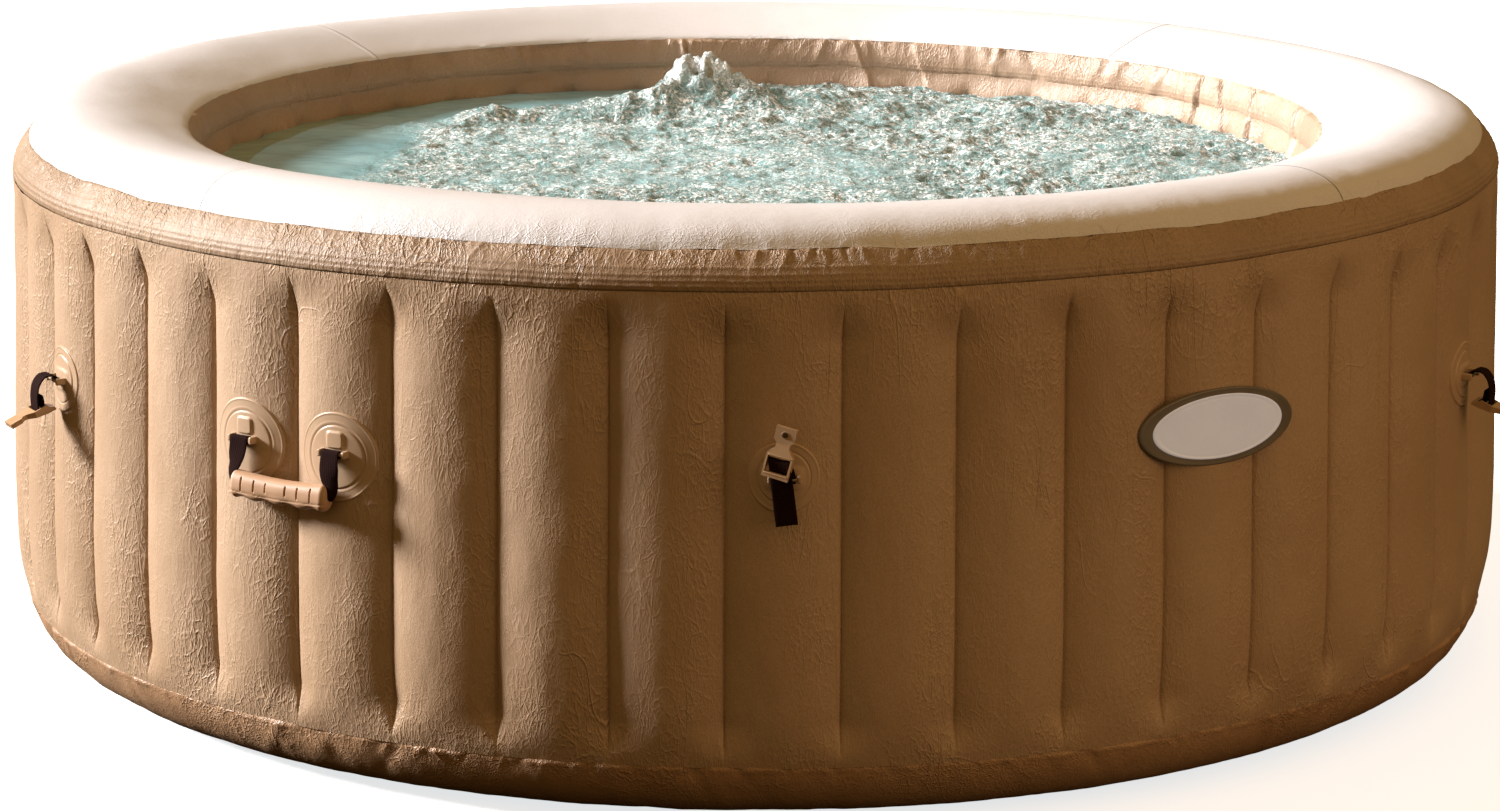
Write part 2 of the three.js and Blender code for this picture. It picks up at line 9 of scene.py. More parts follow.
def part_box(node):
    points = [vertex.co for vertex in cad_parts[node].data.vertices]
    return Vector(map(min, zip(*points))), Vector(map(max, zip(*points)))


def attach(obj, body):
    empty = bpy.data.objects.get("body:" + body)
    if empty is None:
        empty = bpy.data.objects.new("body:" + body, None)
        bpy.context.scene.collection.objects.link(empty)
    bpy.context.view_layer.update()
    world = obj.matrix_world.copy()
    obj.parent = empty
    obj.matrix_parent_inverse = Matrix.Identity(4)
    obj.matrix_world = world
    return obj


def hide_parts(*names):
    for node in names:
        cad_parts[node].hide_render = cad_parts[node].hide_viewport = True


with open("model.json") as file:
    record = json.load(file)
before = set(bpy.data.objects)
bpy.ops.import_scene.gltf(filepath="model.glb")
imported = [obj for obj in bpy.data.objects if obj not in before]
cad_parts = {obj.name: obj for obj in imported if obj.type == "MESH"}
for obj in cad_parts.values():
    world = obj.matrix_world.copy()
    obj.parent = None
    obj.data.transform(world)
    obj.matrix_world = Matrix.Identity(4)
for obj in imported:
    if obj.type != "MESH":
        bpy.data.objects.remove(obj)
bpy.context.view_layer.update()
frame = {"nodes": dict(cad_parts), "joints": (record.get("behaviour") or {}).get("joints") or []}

joints = {j["name"]: j for j in frame["joints"]}
TAU = 2 * math.pi
MM = 0.001
LOBES = 46
PITCH = TAU / LOBES


def joint_place(name):
    """A joint's azimuth, its distance from the tub's axis and its height."""
    x, y, z = joints[name]["pos_m"]
    return math.atan2(x, -y), math.hypot(x, y), z


def box_middle(node):
    """The middle of a CAD node's box, and its azimuth."""
    low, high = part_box(node)
    middle = (low + high) / 2
    return middle, math.atan2(middle.x, -middle.y)


CREST = joint_place("latch_1_swing")[0]  # azimuth of one lobe's crest
GROUND_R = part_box("ground_sheet")[1].x
WALL_LOW, WALL_HIGH = (corner.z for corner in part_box("outer_wall"))
RIM_WELD = 674 * MM
INNER_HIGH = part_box("inner_wall")[1].z
INNER_R = 724 * MM
WATER_Z = 603 * MM


# ---- Numbers ----
def smooth(x):
    x = np.clip(x, 0, 1)
    return x * x * (3 - 2 * x)


def spline(xs, ys):
    """A natural cubic spline through the points, as a function of arrays."""
    xs, ys = np.array(xs, float), np.array(ys, float)
    n, h = len(xs), np.diff(xs)
    a, b = np.eye(n), np.zeros(n)
    for i in range(1, n - 1):
        a[i, i - 1 : i + 2] = h[i - 1], 2 * (h[i - 1] + h[i]), h[i]
        b[i] = 6 * ((ys[i + 1] - ys[i]) / h[i] - (ys[i] - ys[i - 1]) / h[i - 1])
    m = np.linalg.solve(a, b)

    def at(x):
        x = np.asarray(x, float)
        i = np.clip(np.searchsorted(xs, x) - 1, 0, n - 2)
        p, q = (xs[i + 1] - x) / h[i], (x - xs[i]) / h[i]
        bend = ((p**3 - p) * m[i] + (q**3 - q) * m[i + 1]) * h[i] ** 2 / 6
        return p * ys[i] + q * ys[i + 1] + bend

    return at


def ridge(x, width):
    """A soft ridge, 1 high, where x is 0."""
    return np.exp(-((x / width) ** 2))


def dome(x):
    """A quarter round, from 0 at 0 to 1 at 1."""
    return np.sqrt(np.clip(1 - (1 - np.clip(x, 0, 1)) ** 2, 0, 1))


def turns(count):
    """Angles once round."""
    return np.linspace(0, TAU, count, endpoint=False)


def joined(*spans):
    """Runs of (start, end, count) in one row, each span's end given once."""
    rows = [np.linspace(*span)[:-1] for span in spans[:-1]]
    return np.concatenate([*rows, np.linspace(*spans[-1])])


def lattice(ix, iy, iz, seed):
    """A repeatable number from 0 to 1 for each lattice point."""
    v = np.sin(ix * 127.1 + iy * 311.7 + iz * 74.7 + seed * 53.3) * 43758.5453
    return v - np.floor(v)


def noise(x, y, z=0.0, seed=0):
    """Smooth value noise from -1 to 1."""
    x, y, z = np.broadcast_arrays(x, y, z)
    ix, iy, iz = np.floor(x), np.floor(y), np.floor(z)
    fx, fy, fz = smooth(x - ix), smooth(y - iy), smooth(z - iz)
    total = 0
    for dx in (0, 1):
        for dy in (0, 1):
            for dz in (0, 1):
                w = (fx if dx else 1 - fx) * (fy if dy else 1 - fy) * (fz if dz else 1 - fz)
                total = total + w * lattice(ix + dx, iy + dy, iz + dz, seed)
    return total * 2 - 1


def fractal(x, y, z=0.0, seed=0, octaves=4):
    return sum(noise(x * 2**o, y * 2**o, z * 2**o, seed + o) / 2**o for o in range(octaves))


def ring_noise(phi, z, scale, seed=0, octaves=3):
    """Noise on a ring with no break where the azimuth wraps."""
    return fractal(np.sin(phi) * scale, np.cos(phi) * scale, z * scale, seed, octaves)


# ---- Meshes ----
def mesh_piece(name, points, faces, uvs=None, attributes=()):
    mesh = bpy.data.meshes.new(name)
    mesh.from_pydata(np.asarray(points, float).reshape(-1, 3).tolist(), [], faces)
    mesh.shade_smooth()
    if uvs is not None:
        layer = mesh.uv_layers.new(name="UVMap")
        corner = np.empty(len(mesh.loops), np.int32)
        mesh.loops.foreach_get("vertex_index", corner)
        layer.data.foreach_set("uv", np.asarray(uvs, np.float32).reshape(-1, 2)[corner].ravel())
    for label, values in attributes:
        made = mesh.attributes.new(label, "FLOAT", "POINT")
        made.data.foreach_set("value", np.asarray(values, np.float32).ravel())
    mesh.update()
    piece = bpy.data.objects.new(name, mesh)
    bpy.context.scene.collection.objects.link(piece)
    return piece


def grid_faces(rows, cols, wrap_rows=False, wrap_cols=False, flip=False):
    """Quads of a grid of points, closed on itself where it wraps."""
    i = np.arange(rows if wrap_rows else rows - 1)[:, None]
    j = np.arange(cols if wrap_cols else cols - 1)[None, :]
    i2, j2 = (i + 1) % rows, (j + 1) % cols
    quads = [i * cols + j, i * cols + j2, i2 * cols + j2, i2 * cols + j]
    made = np.stack(quads, -1).reshape(-1, 4)
    return (made[:, ::-1] if flip else made).tolist()


def normals_of(points, wrap):
    """Normals of a grid of points. They point outwards when rows rise and columns go with azimuth."""
    along = np.roll(points, -1, 1) - np.roll(points, 1, 1) if wrap else np.gradient(points, axis=1)
    n = np.cross(along, np.gradient(points, axis=0))
    return n / np.maximum(np.linalg.norm(n, axis=-1, keepdims=True), 1e-12)


def finish_piece(piece, body, material, replaces=()):
    piece.data.materials.append(material)
    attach(piece, body)
    if replaces:
        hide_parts(*replaces)
    return piece


def ring_points(phi, r, z):
    return np.stack([r * np.sin(phi), -r * np.cos(phi), z + 0 * phi], -1)


def shell_ring(name, phi, rise, profile, material, replaces, relief=None, wrap=True, crease=None):
    """A sheet round the tub. profile(phi, s) gives radius and height for s from 0 to 1. relief lifts it."""
    p, s = np.meshgrid(phi, rise)
    r, z = profile(p, s)
    points = ring_points(p, r, z)
    if relief is not None:
        points = points + normals_of(points, wrap) * relief(p, s, r, z)[..., None]
    attributes = [] if crease is None else [("crease", crease(p, s, r, z))]
    faces = grid_faces(len(rise), len(phi), wrap_cols=wrap)
    piece = mesh_piece(name, points, faces, np.stack([p * r, z], -1), attributes)
    return finish_piece(piece, "tub", material, replaces)


# ---- Materials ----
class Nodes:
    """A small helper that adds and joins shader nodes."""

    def __init__(self, name):
        self.material = bpy.data.materials.new(name)
        self.material.use_nodes = True
        self.tree = self.material.node_tree
        self.shader = self.tree.nodes["Principled BSDF"]

    def add(self, kind, inputs=None, **settings):
        node = self.tree.nodes.new(kind)
        for key, value in settings.items():
            setattr(node, key, value)
        for key, value in (inputs or {}).items():
            self.put(node.inputs[key], value)
        return node

    def put(self, socket, value):
        if isinstance(value, bpy.types.NodeSocket):
            self.tree.links.new(value, socket)
        else:
            socket.default_value = value

    def math(self, operation, a, b=0.0, clamp=False):
        return self.add("ShaderNodeMath", {0: a, 1: b}, operation=operation, use_clamp=clamp).outputs[0]

    def times(self, a, b, clamp=False):
        return self.math("MULTIPLY", a, b, clamp)

    def plus(self, a, b, clamp=False):
        return self.math("ADD", a, b, clamp)

    def place(self, stretch=(1, 1, 1), kind="Object"):
        found = self.add("ShaderNodeTexCoord").outputs[kind]
        return self.add("ShaderNodeMapping", {"Vector": found, "Scale": stretch}).outputs[0]

    def noise(self, where, scale, detail=3.0, rough=0.55):
        given = {"Vector": where, "Scale": scale, "Detail": detail, "Roughness": rough}
        return self.add("ShaderNodeTexNoise", given).outputs["Fac"]

    def cells(self, where, scale):
        given = {"Vector": where, "Scale": scale}
        return self.add("ShaderNodeTexVoronoi", given, feature="DISTANCE_TO_EDGE").outputs["Distance"]

    def lines(self, where, scale, width):
        """Thin wandering lines, where a noise crosses its middle value."""
        away = self.math("ABSOLUTE", self.math("SUBTRACT", self.noise(where, scale, 1.0), 0.5))
        return self.remap(away, 0.0, width, 1.0, 0.0)

    def remap(self, value, low, high, to_low=0.0, to_high=1.0):
        given = {"Value": value, "From Min": low, "From Max": high, "To Min": to_low, "To Max": to_high}
        return self.add("ShaderNodeMapRange", given, interpolation_type="SMOOTHSTEP").outputs["Result"]

    def warp(self, where, scale, amount):
        """Shifts places by up to about half the amount, by a noise."""
        given = {"Vector": where, "Scale": scale, "Detail": 2.0}
        bent = self.add("ShaderNodeTexNoise", given).outputs["Color"]
        steps = ("SUBTRACT", {1: (0.5, 0.5, 0.5)}), ("SCALE", {"Scale": amount}), ("ADD", {1: where})
        for operation, given in steps:
            bent = self.add("ShaderNodeVectorMath", {0: bent, **given}, operation=operation).outputs[0]
        return bent

    def mix(self, factor, a, b):
        node = self.add("ShaderNodeMix", data_type="RGBA")
        self.put(node.inputs[0], factor)
        self.put(node.inputs[6], a)
        self.put(node.inputs[7], b)
        return node.outputs[2]

    def attribute(self, name):
        return self.add("ShaderNodeAttribute", attribute_name=name).outputs["Fac"]

    def bump(self, height, distance, strength=1.0):
        given = {"Height": height, "Distance": distance, "Strength": strength}
        self.put(self.shader.inputs["Normal"], self.add("ShaderNodeBump", given).outputs["Normal"])

    def set(self, **values):
        names = {"color": "Base Color", "rough": "Roughness", "specular": "Specular IOR Level",
                 "glow": "Emission Color", "glow_strength": "Emission Strength"}
        for key, value in values.items():
            self.put(self.shader.inputs[names[key]], value)
        return self.material


def rgb(r, g, b):
    """An sRGB colour from 0 to 255 as linear values."""
    return (*[((c / 255 + 0.055) / 1.055) ** 2.4 for c in (r, g, b)], 1.0)


def vinyl(name, light, dark, stretch=(1, 1, 1), crease=1.0, rough=0.42, grain=0.25, depth=0.0015, drawn=True):
    """Leather-grained coated vinyl: fine crackle, a few long creases and a slight change of colour over the
    sheet. Where drawn is set, the mesh's crease attribute says where the creases gather."""
    n = Nodes(name)
    here, stretched = n.place(), n.place(stretch)
    place = n.warp(stretched, 24.0, 0.022)
    fine = n.remap(n.cells(place, 230.0), 0.0, 0.22, 1.0, 0.0)
    coarse = n.remap(n.cells(n.warp(place, 90.0, 0.006), 105.0), 0.0, 0.12, 1.0, 0.0)
    folds = n.lines(n.warp(stretched, 9.0, 0.05), 13.0, 0.010)
    rare = n.remap(n.noise(here, 4.3, 1.0), 0.50, 0.66)
    upright = n.place((stretch[0], stretch[1], stretch[2] * 0.16))
    drifts = n.lines(n.warp(upright, 7.0, 0.03), 24.0, 0.007)
    some = n.remap(n.noise(here, 5.1, 1.0), 0.46, 0.60)
    patches = n.remap(n.noise(here, 9.0, 2.0), 0.38, 0.60, 0.30, 1.0)
    if drawn:
        patches = n.times(patches, n.attribute("crease"))
    relief = n.plus(n.times(fine, 0.42), n.times(coarse, 0.55))
    relief = n.plus(relief, n.times(n.times(folds, rare), 1.2))
    relief = n.plus(relief, n.times(n.times(drifts, some), 1.1))
    relief = n.times(n.times(relief, patches), crease)
    pebble = n.times(n.noise(here, 950.0), grain)
    soft = n.times(n.noise(stretched, 38.0), crease)
    n.bump(n.plus(n.plus(relief, pebble), soft), depth, 0.9)
    tone = n.noise(here, 2.6, 4.0)
    cloud = n.mix(n.remap(tone, 0.35, 0.65), dark, light)
    # Raised crackle and creases are mixed towards this paler colour below: a painted highlight on the relief,
    # so that it shows in shade.
    painted_ridge_light = (*[min(1.0, c * 1.35) for c in light[:3]], 1.0)
    deeper = (*[c * 0.86 for c in dark[:3]], 1.0)
    pores = n.remap(n.noise(here, 420.0), 0.42, 0.62, 0.0, 0.55 * crease)
    colour = n.mix(n.times(relief, 0.30, clamp=True), n.mix(pores, cloud, deeper), painted_ridge_light)
    return n.set(color=colour, rough=n.remap(tone, 0.3, 0.7, rough - 0.06, rough + 0.08), specular=0.42)


def moulded(name, colour, darker, rough=0.38, **settings):
    """Injection-moulded plastic with a fine spark texture and a slight change of tone over it, by a broad
    noise.
    """
    n = Nodes(name)
    spark = n.noise(n.place(), 900.0)
    flow = n.noise(n.place(), 22.0, 2.0)
    n.bump(spark, 0.00012, 0.7)
    shine = n.remap(spark, 0.3, 0.7, rough - 0.06, rough + 0.1)
    return n.set(color=n.mix(n.remap(flow, 0.3, 0.7), darker, colour), rough=shine, **settings)


def woven(name, colour, thread_highlight):
    """Woven webbing: threads across and along it. UV is in metres, along then across."""
    n = Nodes(name)
    thread = 1.0
    for scale, distortion, way in ((190.0, 0.6, "X"), (105.0, 0.4, "Y")):
        given = {"Vector": n.place(kind="UV"), "Scale": scale, "Distortion": distortion}
        thread = n.times(thread, n.add("ShaderNodeTexWave", given, bands_direction=way).outputs["Fac"])
    fuzz = n.noise(n.place(), 1800.0, 2.0)
    n.bump(n.plus(thread, n.times(fuzz, 0.4)), 0.0004, 0.9)
    # Thread crowns are mixed towards the lighter colour, a painted highlight on the weave. The fuzz adds
    # random lighter specks.
    return n.set(color=n.mix(n.times(n.plus(thread, fuzz), 0.45), colour, thread_highlight), rough=0.85, specular=0.05)


wall_vinyl = vinyl("wall_vinyl", rgb(184, 155, 127), rgb(172, 142, 113), (1, 1, 0.45), crease=0.82)
base_vinyl = vinyl("base_vinyl", rgb(174, 138, 105), rgb(158, 122, 91), (1, 1, 0.8), crease=0.9)
band_vinyl = vinyl("band_vinyl", rgb(166, 139, 112), rgb(148, 120, 93), (1, 1, 0.35), crease=0.9, rough=0.46)
rim_vinyl = vinyl("rim_vinyl", rgb(219, 215, 216), rgb(213, 209, 209), crease=0.5, rough=0.5, depth=0.0012)
inner_vinyl = vinyl("inner_vinyl", rgb(178, 152, 130), rgb(158, 131, 108), (1, 1, 0.5), crease=0.7)
floor_vinyl = vinyl("floor_vinyl", rgb(140, 108, 80), rgb(124, 94, 68), crease=0.4, drawn=False)
patch_vinyl = vinyl("patch_vinyl", rgb(188, 159, 131), rgb(178, 148, 119), crease=0.08, rough=0.3, grain=0.5,
                    depth=0.0005, drawn=False)
webbing = woven("webbing", rgb(16, 6, 5), rgb(54, 28, 24))
latch_plastic = moulded("latch_plastic", rgb(186, 152, 118), rgb(170, 136, 102), rough=0.32)
lock_plastic = moulded("lock_plastic", rgb(96, 78, 66), rgb(80, 64, 54), rough=0.35)
grip_plastic = moulded("grip_plastic", rgb(188, 150, 118), rgb(172, 134, 101), rough=0.5)
badge_dark = moulded("badge_dark", rgb(112, 104, 96), rgb(100, 92, 84), rough=0.34)
# The badge face's own colour is a light blue-white. Its weak blue emission is painted light: a painted sky
# reflection that makes the face glow though it is no lamp.
badge_light = moulded("badge_light", rgb(240, 247, 255), rgb(233, 239, 246), rough=0.26,
                      glow=(0.68, 0.76, 1.0, 1), glow_strength=0.14)
port_plastic = moulded("port_plastic", rgb(118, 108, 98), rgb(102, 92, 82), rough=0.42)
web_mesh = moulded("web_mesh", rgb(205, 200, 192), rgb(190, 184, 176), rough=0.8)

# ---- The wall ----
wall_profile = spline([0.080, 0.112, 0.170, 0.240, 0.330, 0.460, 0.560, 0.628],
                      [0.9650, 0.9730, 0.9785, 0.9785, 0.9755, 0.9715, 0.9690, 0.9670])
WALL_R = 0.97
LOBE_DEPTH = 16.5 * MM
LOBES_END, LOBES_START = 0.622, 0.084  # heights where the grooves have faded out


def lobe_turn(phi):
    """Lobes counted round the wall, and the share of the way across the lobe."""
    turn = (phi - CREST) / PITCH + 0.5
    return turn, turn - np.floor(turn)


def wall_radius(phi, z, weld=True):
    turn, across = lobe_turn(phi)
    groove = 1 - (4 * across * (1 - across)) ** 0.85
    upper = smooth((LOBES_END + 0.004 * np.sin(np.round(turn) * 2.4) - z) / 0.058)
    depth = LOBE_DEPTH * smooth((z - LOBES_START) / 0.05) * upper
    side = np.minimum(across, 1 - across) * PITCH * WALL_R
    dip = 1.3 * MM * ridge(side, 0.0019) * np.minimum(1, depth / LOBE_DEPTH * 3)
    swell = 0.9 * MM * ring_noise(phi, z, 3.5, seed=3)
    return wall_profile(z) - depth * groove - (dip if weld else 0) + swell


def band_low(phi):
    """Height of the weld under the outer band."""
    return WALL_HIGH + 0.008 * np.sin(phi) + 0.0012 * ring_noise(phi, 0 * phi, 6, seed=9)


def rim_low(phi):
    """Height of the weld between the outer band and the rim."""
    return RIM_WELD + 0.006 * np.sin(phi) + 0.0016 * ring_noise(phi, 0 * phi, 17, seed=5)


def wall_crease(phi, s, r, z):
    """Creases gather on each lobe's right side and at its ends."""
    right = smooth((lobe_turn(phi)[1] - 0.35) / 0.5)
    top = smooth((z - 0.50) / 0.10)
    low = smooth((0.20 - z) / 0.10)
    return np.clip(0.28 + 0.5 * right + 0.35 * top + 0.35 * low, 0, 1)


def wall_relief(phi, s, r, z):
    """Pulled folds that fan out from the top and bottom of each groove, and shallow dents down the lobes."""
    turn, _ = lobe_turn(phi)
    nearest = np.round(turn)
    side = (turn - nearest) * PITCH * r
    fold = 0
    for top, sign in ((0.612, -1), (0.095, 1)):
        away = sign * (z - top)
        reach = smooth(away / 0.012) * smooth((0.075 - away) / 0.06)
        fan = np.sin(side / (0.004 + 0.30 * np.maximum(away, 0)) * 2.2 + nearest * 1.7)
        near = ridge(side, 0.010 + 0.45 * np.maximum(away, 0))
        fold = fold + 0.9 * MM * fan * near * reach
    dents = ring_noise(phi, z * 0.5, 26, seed=11, octaves=3)
    return fold + 0.45 * MM * dents + 0.35 * MM * ring_noise(phi, z * 0.35, 70, seed=13, octaves=2)


# Columns of the wall's mesh: close together at each groove's weld, so that it stays crisp.
half_lobe = np.array([0, 0.0045, 0.011, 0.020, 0.034, 0.06, 0.10, 0.15, 0.20, 0.25, 0.30, 0.35, 0.40, 0.45])
one_lobe = np.concatenate([half_lobe, [0.5], 1 - half_lobe[:0:-1]])
wall_phi = CREST + (np.arange(LOBES)[:, None] + one_lobe[None, :] - 0.5).ravel() * PITCH


def wall_shape(phi, s):
    z = WALL_LOW - 0.001 + s * (band_low(phi) + 0.001 - WALL_LOW + 0.001)
    return wall_radius(phi, z), z


wall_rise = joined((0, 0.12, 16), (0.12, 0.84, 70), (0.84, 1, 34))
shell_ring("outer_wall_sheet", wall_phi, wall_rise, wall_shape, wall_vinyl, ["outer_wall"],
           wall_relief, crease=wall_crease)


# ---- Bands, rim and base ----
def gathers(seed, count, reach, width, height):
    """Short puckers that run away from a weld. away is the distance from the weld in metres."""
    rng = np.random.default_rng(seed)
    centres = np.sort(rng.uniform(0, TAU, count))
    slopes = rng.uniform(-0.7, 0.7, count)
    widths = rng.uniform(0.6, 1.7, count) * width
    reaches = rng.uniform(0.35, 1.25, count) * reach
    heights = rng.uniform(-1, 1, count) * height

    def at(p, away, r):
        total = np.zeros_like(p)
        for c, m, w, l, h in zip(centres, slopes, widths, reaches, heights):
            d = (p - c + math.pi) % TAU - math.pi
            cols = np.abs(d[0]) * 0.95 < 0.035 + 4 * w
            if not cols.any():
                continue
            side = d[:, cols] * r[:, cols] - m * away[:, cols]
            total[:, cols] += h * ridge(side, w) * smooth((l - away[:, cols]) / l)
        return total

    return at


band_gathers = gathers(21, 760, 0.030, 0.0026, 1.7 * MM)
band_lower_gathers = gathers(22, 520, 0.026, 0.0026, 1.0 * MM)
fine_phi = turns(2300) + math.pi


def band_shape(phi, s):
    low, high = band_low(phi), rim_low(phi)
    r = 0.9674 + (0.9445 - 0.9674) * s**1.35 + 0.0042 * np.sin(math.pi * s)
    return r, low + s * (high - low)


def band_edge(s, height):
    """0 at a band's two welds and 1 between them."""
    return smooth(s * height / 0.003) * smooth((1 - s) * height / 0.002)


def band_relief(phi, s, r, z):
    height = 0.047
    welds = sum(0.75 * MM * ridge(s * height - at, 0.0010) for at in (0.0075, 0.0135, 0.0195, 0.0275))
    tuck = -2.2 * MM * ridge(s * height, 0.0016) - 1.6 * MM * ridge((1 - s) * height, 0.0014)
    puckers = band_gathers(phi, (1 - s) * height, r) + band_lower_gathers(phi, s * height, r)
    return welds + tuck + puckers * band_edge(s, height) + 0.4 * MM * ring_noise(phi, z, 60, seed=31)


shell_ring("outer_band_sheet", fine_phi, np.linspace(0, 1, 34), band_shape, band_vinyl,
           ["outer_rim_band"], band_relief, crease=lambda p, s, r, z: 0.55 + 0.45 * smooth((s - 0.45) / 0.4))

RIM_SHARES = [0, 0.10, 0.24, 0.40, 0.56, 0.74, 0.90, 1]  # outer weld to inner weld
rim_r = spline(RIM_SHARES, [0.9455, 0.9350, 0.9070, 0.8680, 0.8260, 0.7800, 0.7480, 0.7420])
rim_z = spline(RIM_SHARES, [0.6725, 0.6885, 0.7048, 0.7092, 0.7030, 0.6890, 0.6770, 0.6725])
RIM_ACROSS = 0.232  # along the surface
outer_puckers = gathers(41, 300, 0.030, 0.0040, 0.8 * MM)
inner_puckers = gathers(42, 260, 0.035, 0.006, 1.0 * MM)


def rim_shape(phi, s):
    lean = (1 - smooth(s / 0.3)) * (rim_low(phi) - RIM_WELD)
    return rim_r(s), rim_z(s) + lean


def rim_relief(phi, s, r, z):
    from_outer, from_inner = s * RIM_ACROSS, (1 - s) * RIM_ACROSS
    edge = smooth(from_outer / 0.003) * smooth(from_inner / 0.003)
    ends = (phi - CREST) % (math.pi / 2) - math.pi / 4
    at_weld = np.abs(ends) * r
    weld = 0.4 * MM * ridge(at_weld, 0.0022) - 0.3 * MM * ridge(at_weld - 0.006, 0.002)
    soft = 0.7 * MM * ring_noise(phi, s * 0.5, 7, seed=44, octaves=2)
    return (outer_puckers(phi, from_outer, r) + inner_puckers(phi, from_inner, r)) * edge + weld + soft * edge


def rim_crease(phi, s, r, z):
    return 0.10 + 0.80 * smooth((0.22 - s) / 0.2) + 0.4 * smooth((s - 0.82) / 0.15)


HALF_PANEL = math.pi / 4 - 0.0006
for number in (1, 2, 3, 4):
    panel = f"rim_panel_{number}"
    _, towards = box_middle(panel)
    panel_phi = np.linspace(towards - HALF_PANEL, towards + HALF_PANEL, 460)
    shell_ring(f"{panel}_sheet", panel_phi, np.linspace(0, 1, 64), rim_shape, rim_vinyl, [panel],
               rim_relief, wrap=False, crease=rim_crease)

inner_folds = gathers(51, 110, 0.075, 0.0070, 4.2 * MM)
inner_fine = gathers(52, 420, 0.03, 0.003, 1.2 * MM)


tuck_rng = np.random.default_rng(58)
TUCKS = [(tuck_rng.uniform(0, TAU), tuck_rng.uniform(2.5, 8.5) * MM, tuck_rng.uniform(0.015, 0.055),
          tuck_rng.uniform(-0.45, 0.45), tuck_rng.choice((-1, 1))) for _ in range(30)]


def inner_tucks(phi, z):
    """Overlapping tucks that hang from the rim's inner weld, each with one sharp side."""
    below = RIM_WELD - z
    total = 0
    for centre, tall, wide, lean, hand in TUCKS:
        side = hand * (((phi - centre + math.pi) % TAU - math.pi) * INNER_R - lean * below)
        total = total + tall * smooth(side / 0.0035) * np.exp(-np.maximum(side, 0) / wide)
    return total * smooth(below / 0.008) * smooth((0.16 - below) / 0.08)


def inner_weld(phi):
    """Height of the weld between the inner wall and its band."""
    return INNER_HIGH + 0.002 * ring_noise(phi, 0 * phi, 5, seed=55)


def inner_band_shape(phi, s):
    low = inner_weld(phi)
    return 0.7425 - 0.0075 * smooth(1 - s) - 0.004 * np.sin(math.pi * s), low + s * (RIM_WELD - 0.001 - low)


def inner_band_relief(phi, s, r, z):
    height = 0.042
    puckers = inner_folds(phi, (1 - s) * height, r) + inner_fine(phi, (1 - s) * height, r)
    welds = sum(0.6 * MM * ridge(s * height - at, 0.0012) for at in (0.004, 0.009))
    wave = 0.6 * MM * ring_noise(phi, z, 40, seed=56)
    return -(puckers * band_edge(s, height) + welds + inner_tucks(phi, z) + wave)


shell_ring("inner_band_sheet", turns(1500), np.linspace(0, 1, 26), inner_band_shape, inner_vinyl,
           ["inner_rim_band"], inner_band_relief, crease=lambda p, s, r, z: 0.6 + 0.4 * s)


def inner_radius(phi, z):
    _, across = lobe_turn(phi)
    groove = 1 - 4 * across * (1 - across)
    depth = 12 * MM * smooth((0.628 - z) / 0.04)
    return INNER_R + depth * groove + 0.011 * smooth((z - 0.600) / 0.032)


def inner_wall_shape(phi, s):
    z = 0.007 + s * (inner_weld(phi) + 0.001 - 0.007)
    return inner_radius(phi, z), z


shell_ring("inner_wall_sheet", turns(LOBES * 32), joined((0, 0.85, 24), (0.85, 1, 20)), inner_wall_shape,
           inner_vinyl, ["inner_wall"],
           lambda p, s, r, z: 0.6 * MM * ring_noise(p, z * 0.5, 30, seed=57) - inner_tucks(p, z),
           crease=lambda p, s, r, z: 0.7 + 0 * s)

BASE_SHARES = [0, 0.22, 0.45, 0.65, 0.82, 1]  # ground to the wall's weld
base_r = spline(BASE_SHARES, [GROUND_R + 0.0005, 0.8850, 0.9250, 0.9480, 0.9600, 0.9655])
base_z = spline(BASE_SHARES, [0.0004, 0.0058, 0.0190, 0.0390, 0.0600, 0.0805])
base_puckers = gathers(61, 420, 0.040, 0.0050, 1.8 * MM)
base_under = gathers(62, 260, 0.10, 0.010, 2.2 * MM)


def base_relief(phi, s, r, z):
    length = 0.165
    from_weld = (1 - s) * length
    edge = smooth(from_weld / 0.004) * smooth(s / 0.25)
    welds = sum(0.7 * MM * ridge(from_weld - at, 0.0013) for at in (0.007, 0.013))
    tuck = -1.8 * MM * ridge(from_weld, 0.0016)
    puckers = base_puckers(phi, from_weld, r) + base_under(phi, from_weld, r)
    return welds + tuck + (puckers + 0.8 * MM * ring_noise(phi, z, 22, seed=63)) * edge


shell_ring("base_roll_sheet", fine_phi, np.linspace(0, 1, 44), lambda p, s: (base_r(s), base_z(s) + 0 * p),
           base_vinyl, ["base_roll"], base_relief,
           crease=lambda p, s, r, z: 0.5 + 0.5 * smooth((s - 0.5) / 0.4))


# ---- Seats on the wall ----
class Seat:
    """A place on the wall. From it x is sideways, u outwards and v up, in millimetres."""

    def __init__(self, azimuth, distance, z):
        self.azimuth, self.distance, self.z = azimuth, distance, z
        self.side = np.array([math.cos(azimuth), math.sin(azimuth), 0.0])
        self.out = np.array([math.sin(azimuth), -math.cos(azimuth), 0.0])
        self.origin = self.out * distance + np.array([0, 0, z])

    def at(self, x, u, v):
        """Points in metres from x, u and v."""
        x, u, v = (np.asarray(a, float)[..., None] * MM for a in np.broadcast_arrays(x, u, v))
        return self.origin + self.side * x + self.out * u + np.array([0, 0, 1.0]) * v

    def measure(self, points):
        """Points in metres as x, u and v."""
        away = (points - self.origin) / MM
        return away @ self.side, away @ self.out, away[:, 2]

    def on_wall(self, x, v, height):
        """Points on the wall's surface, height millimetres off it."""
        z = self.z + np.asarray(v) * MM
        phi = self.azimuth + np.asarray(x) * MM / self.distance
        r = wall_radius(phi, z, weld=False) + np.asarray(height) * MM
        return ring_points(phi, r, z)


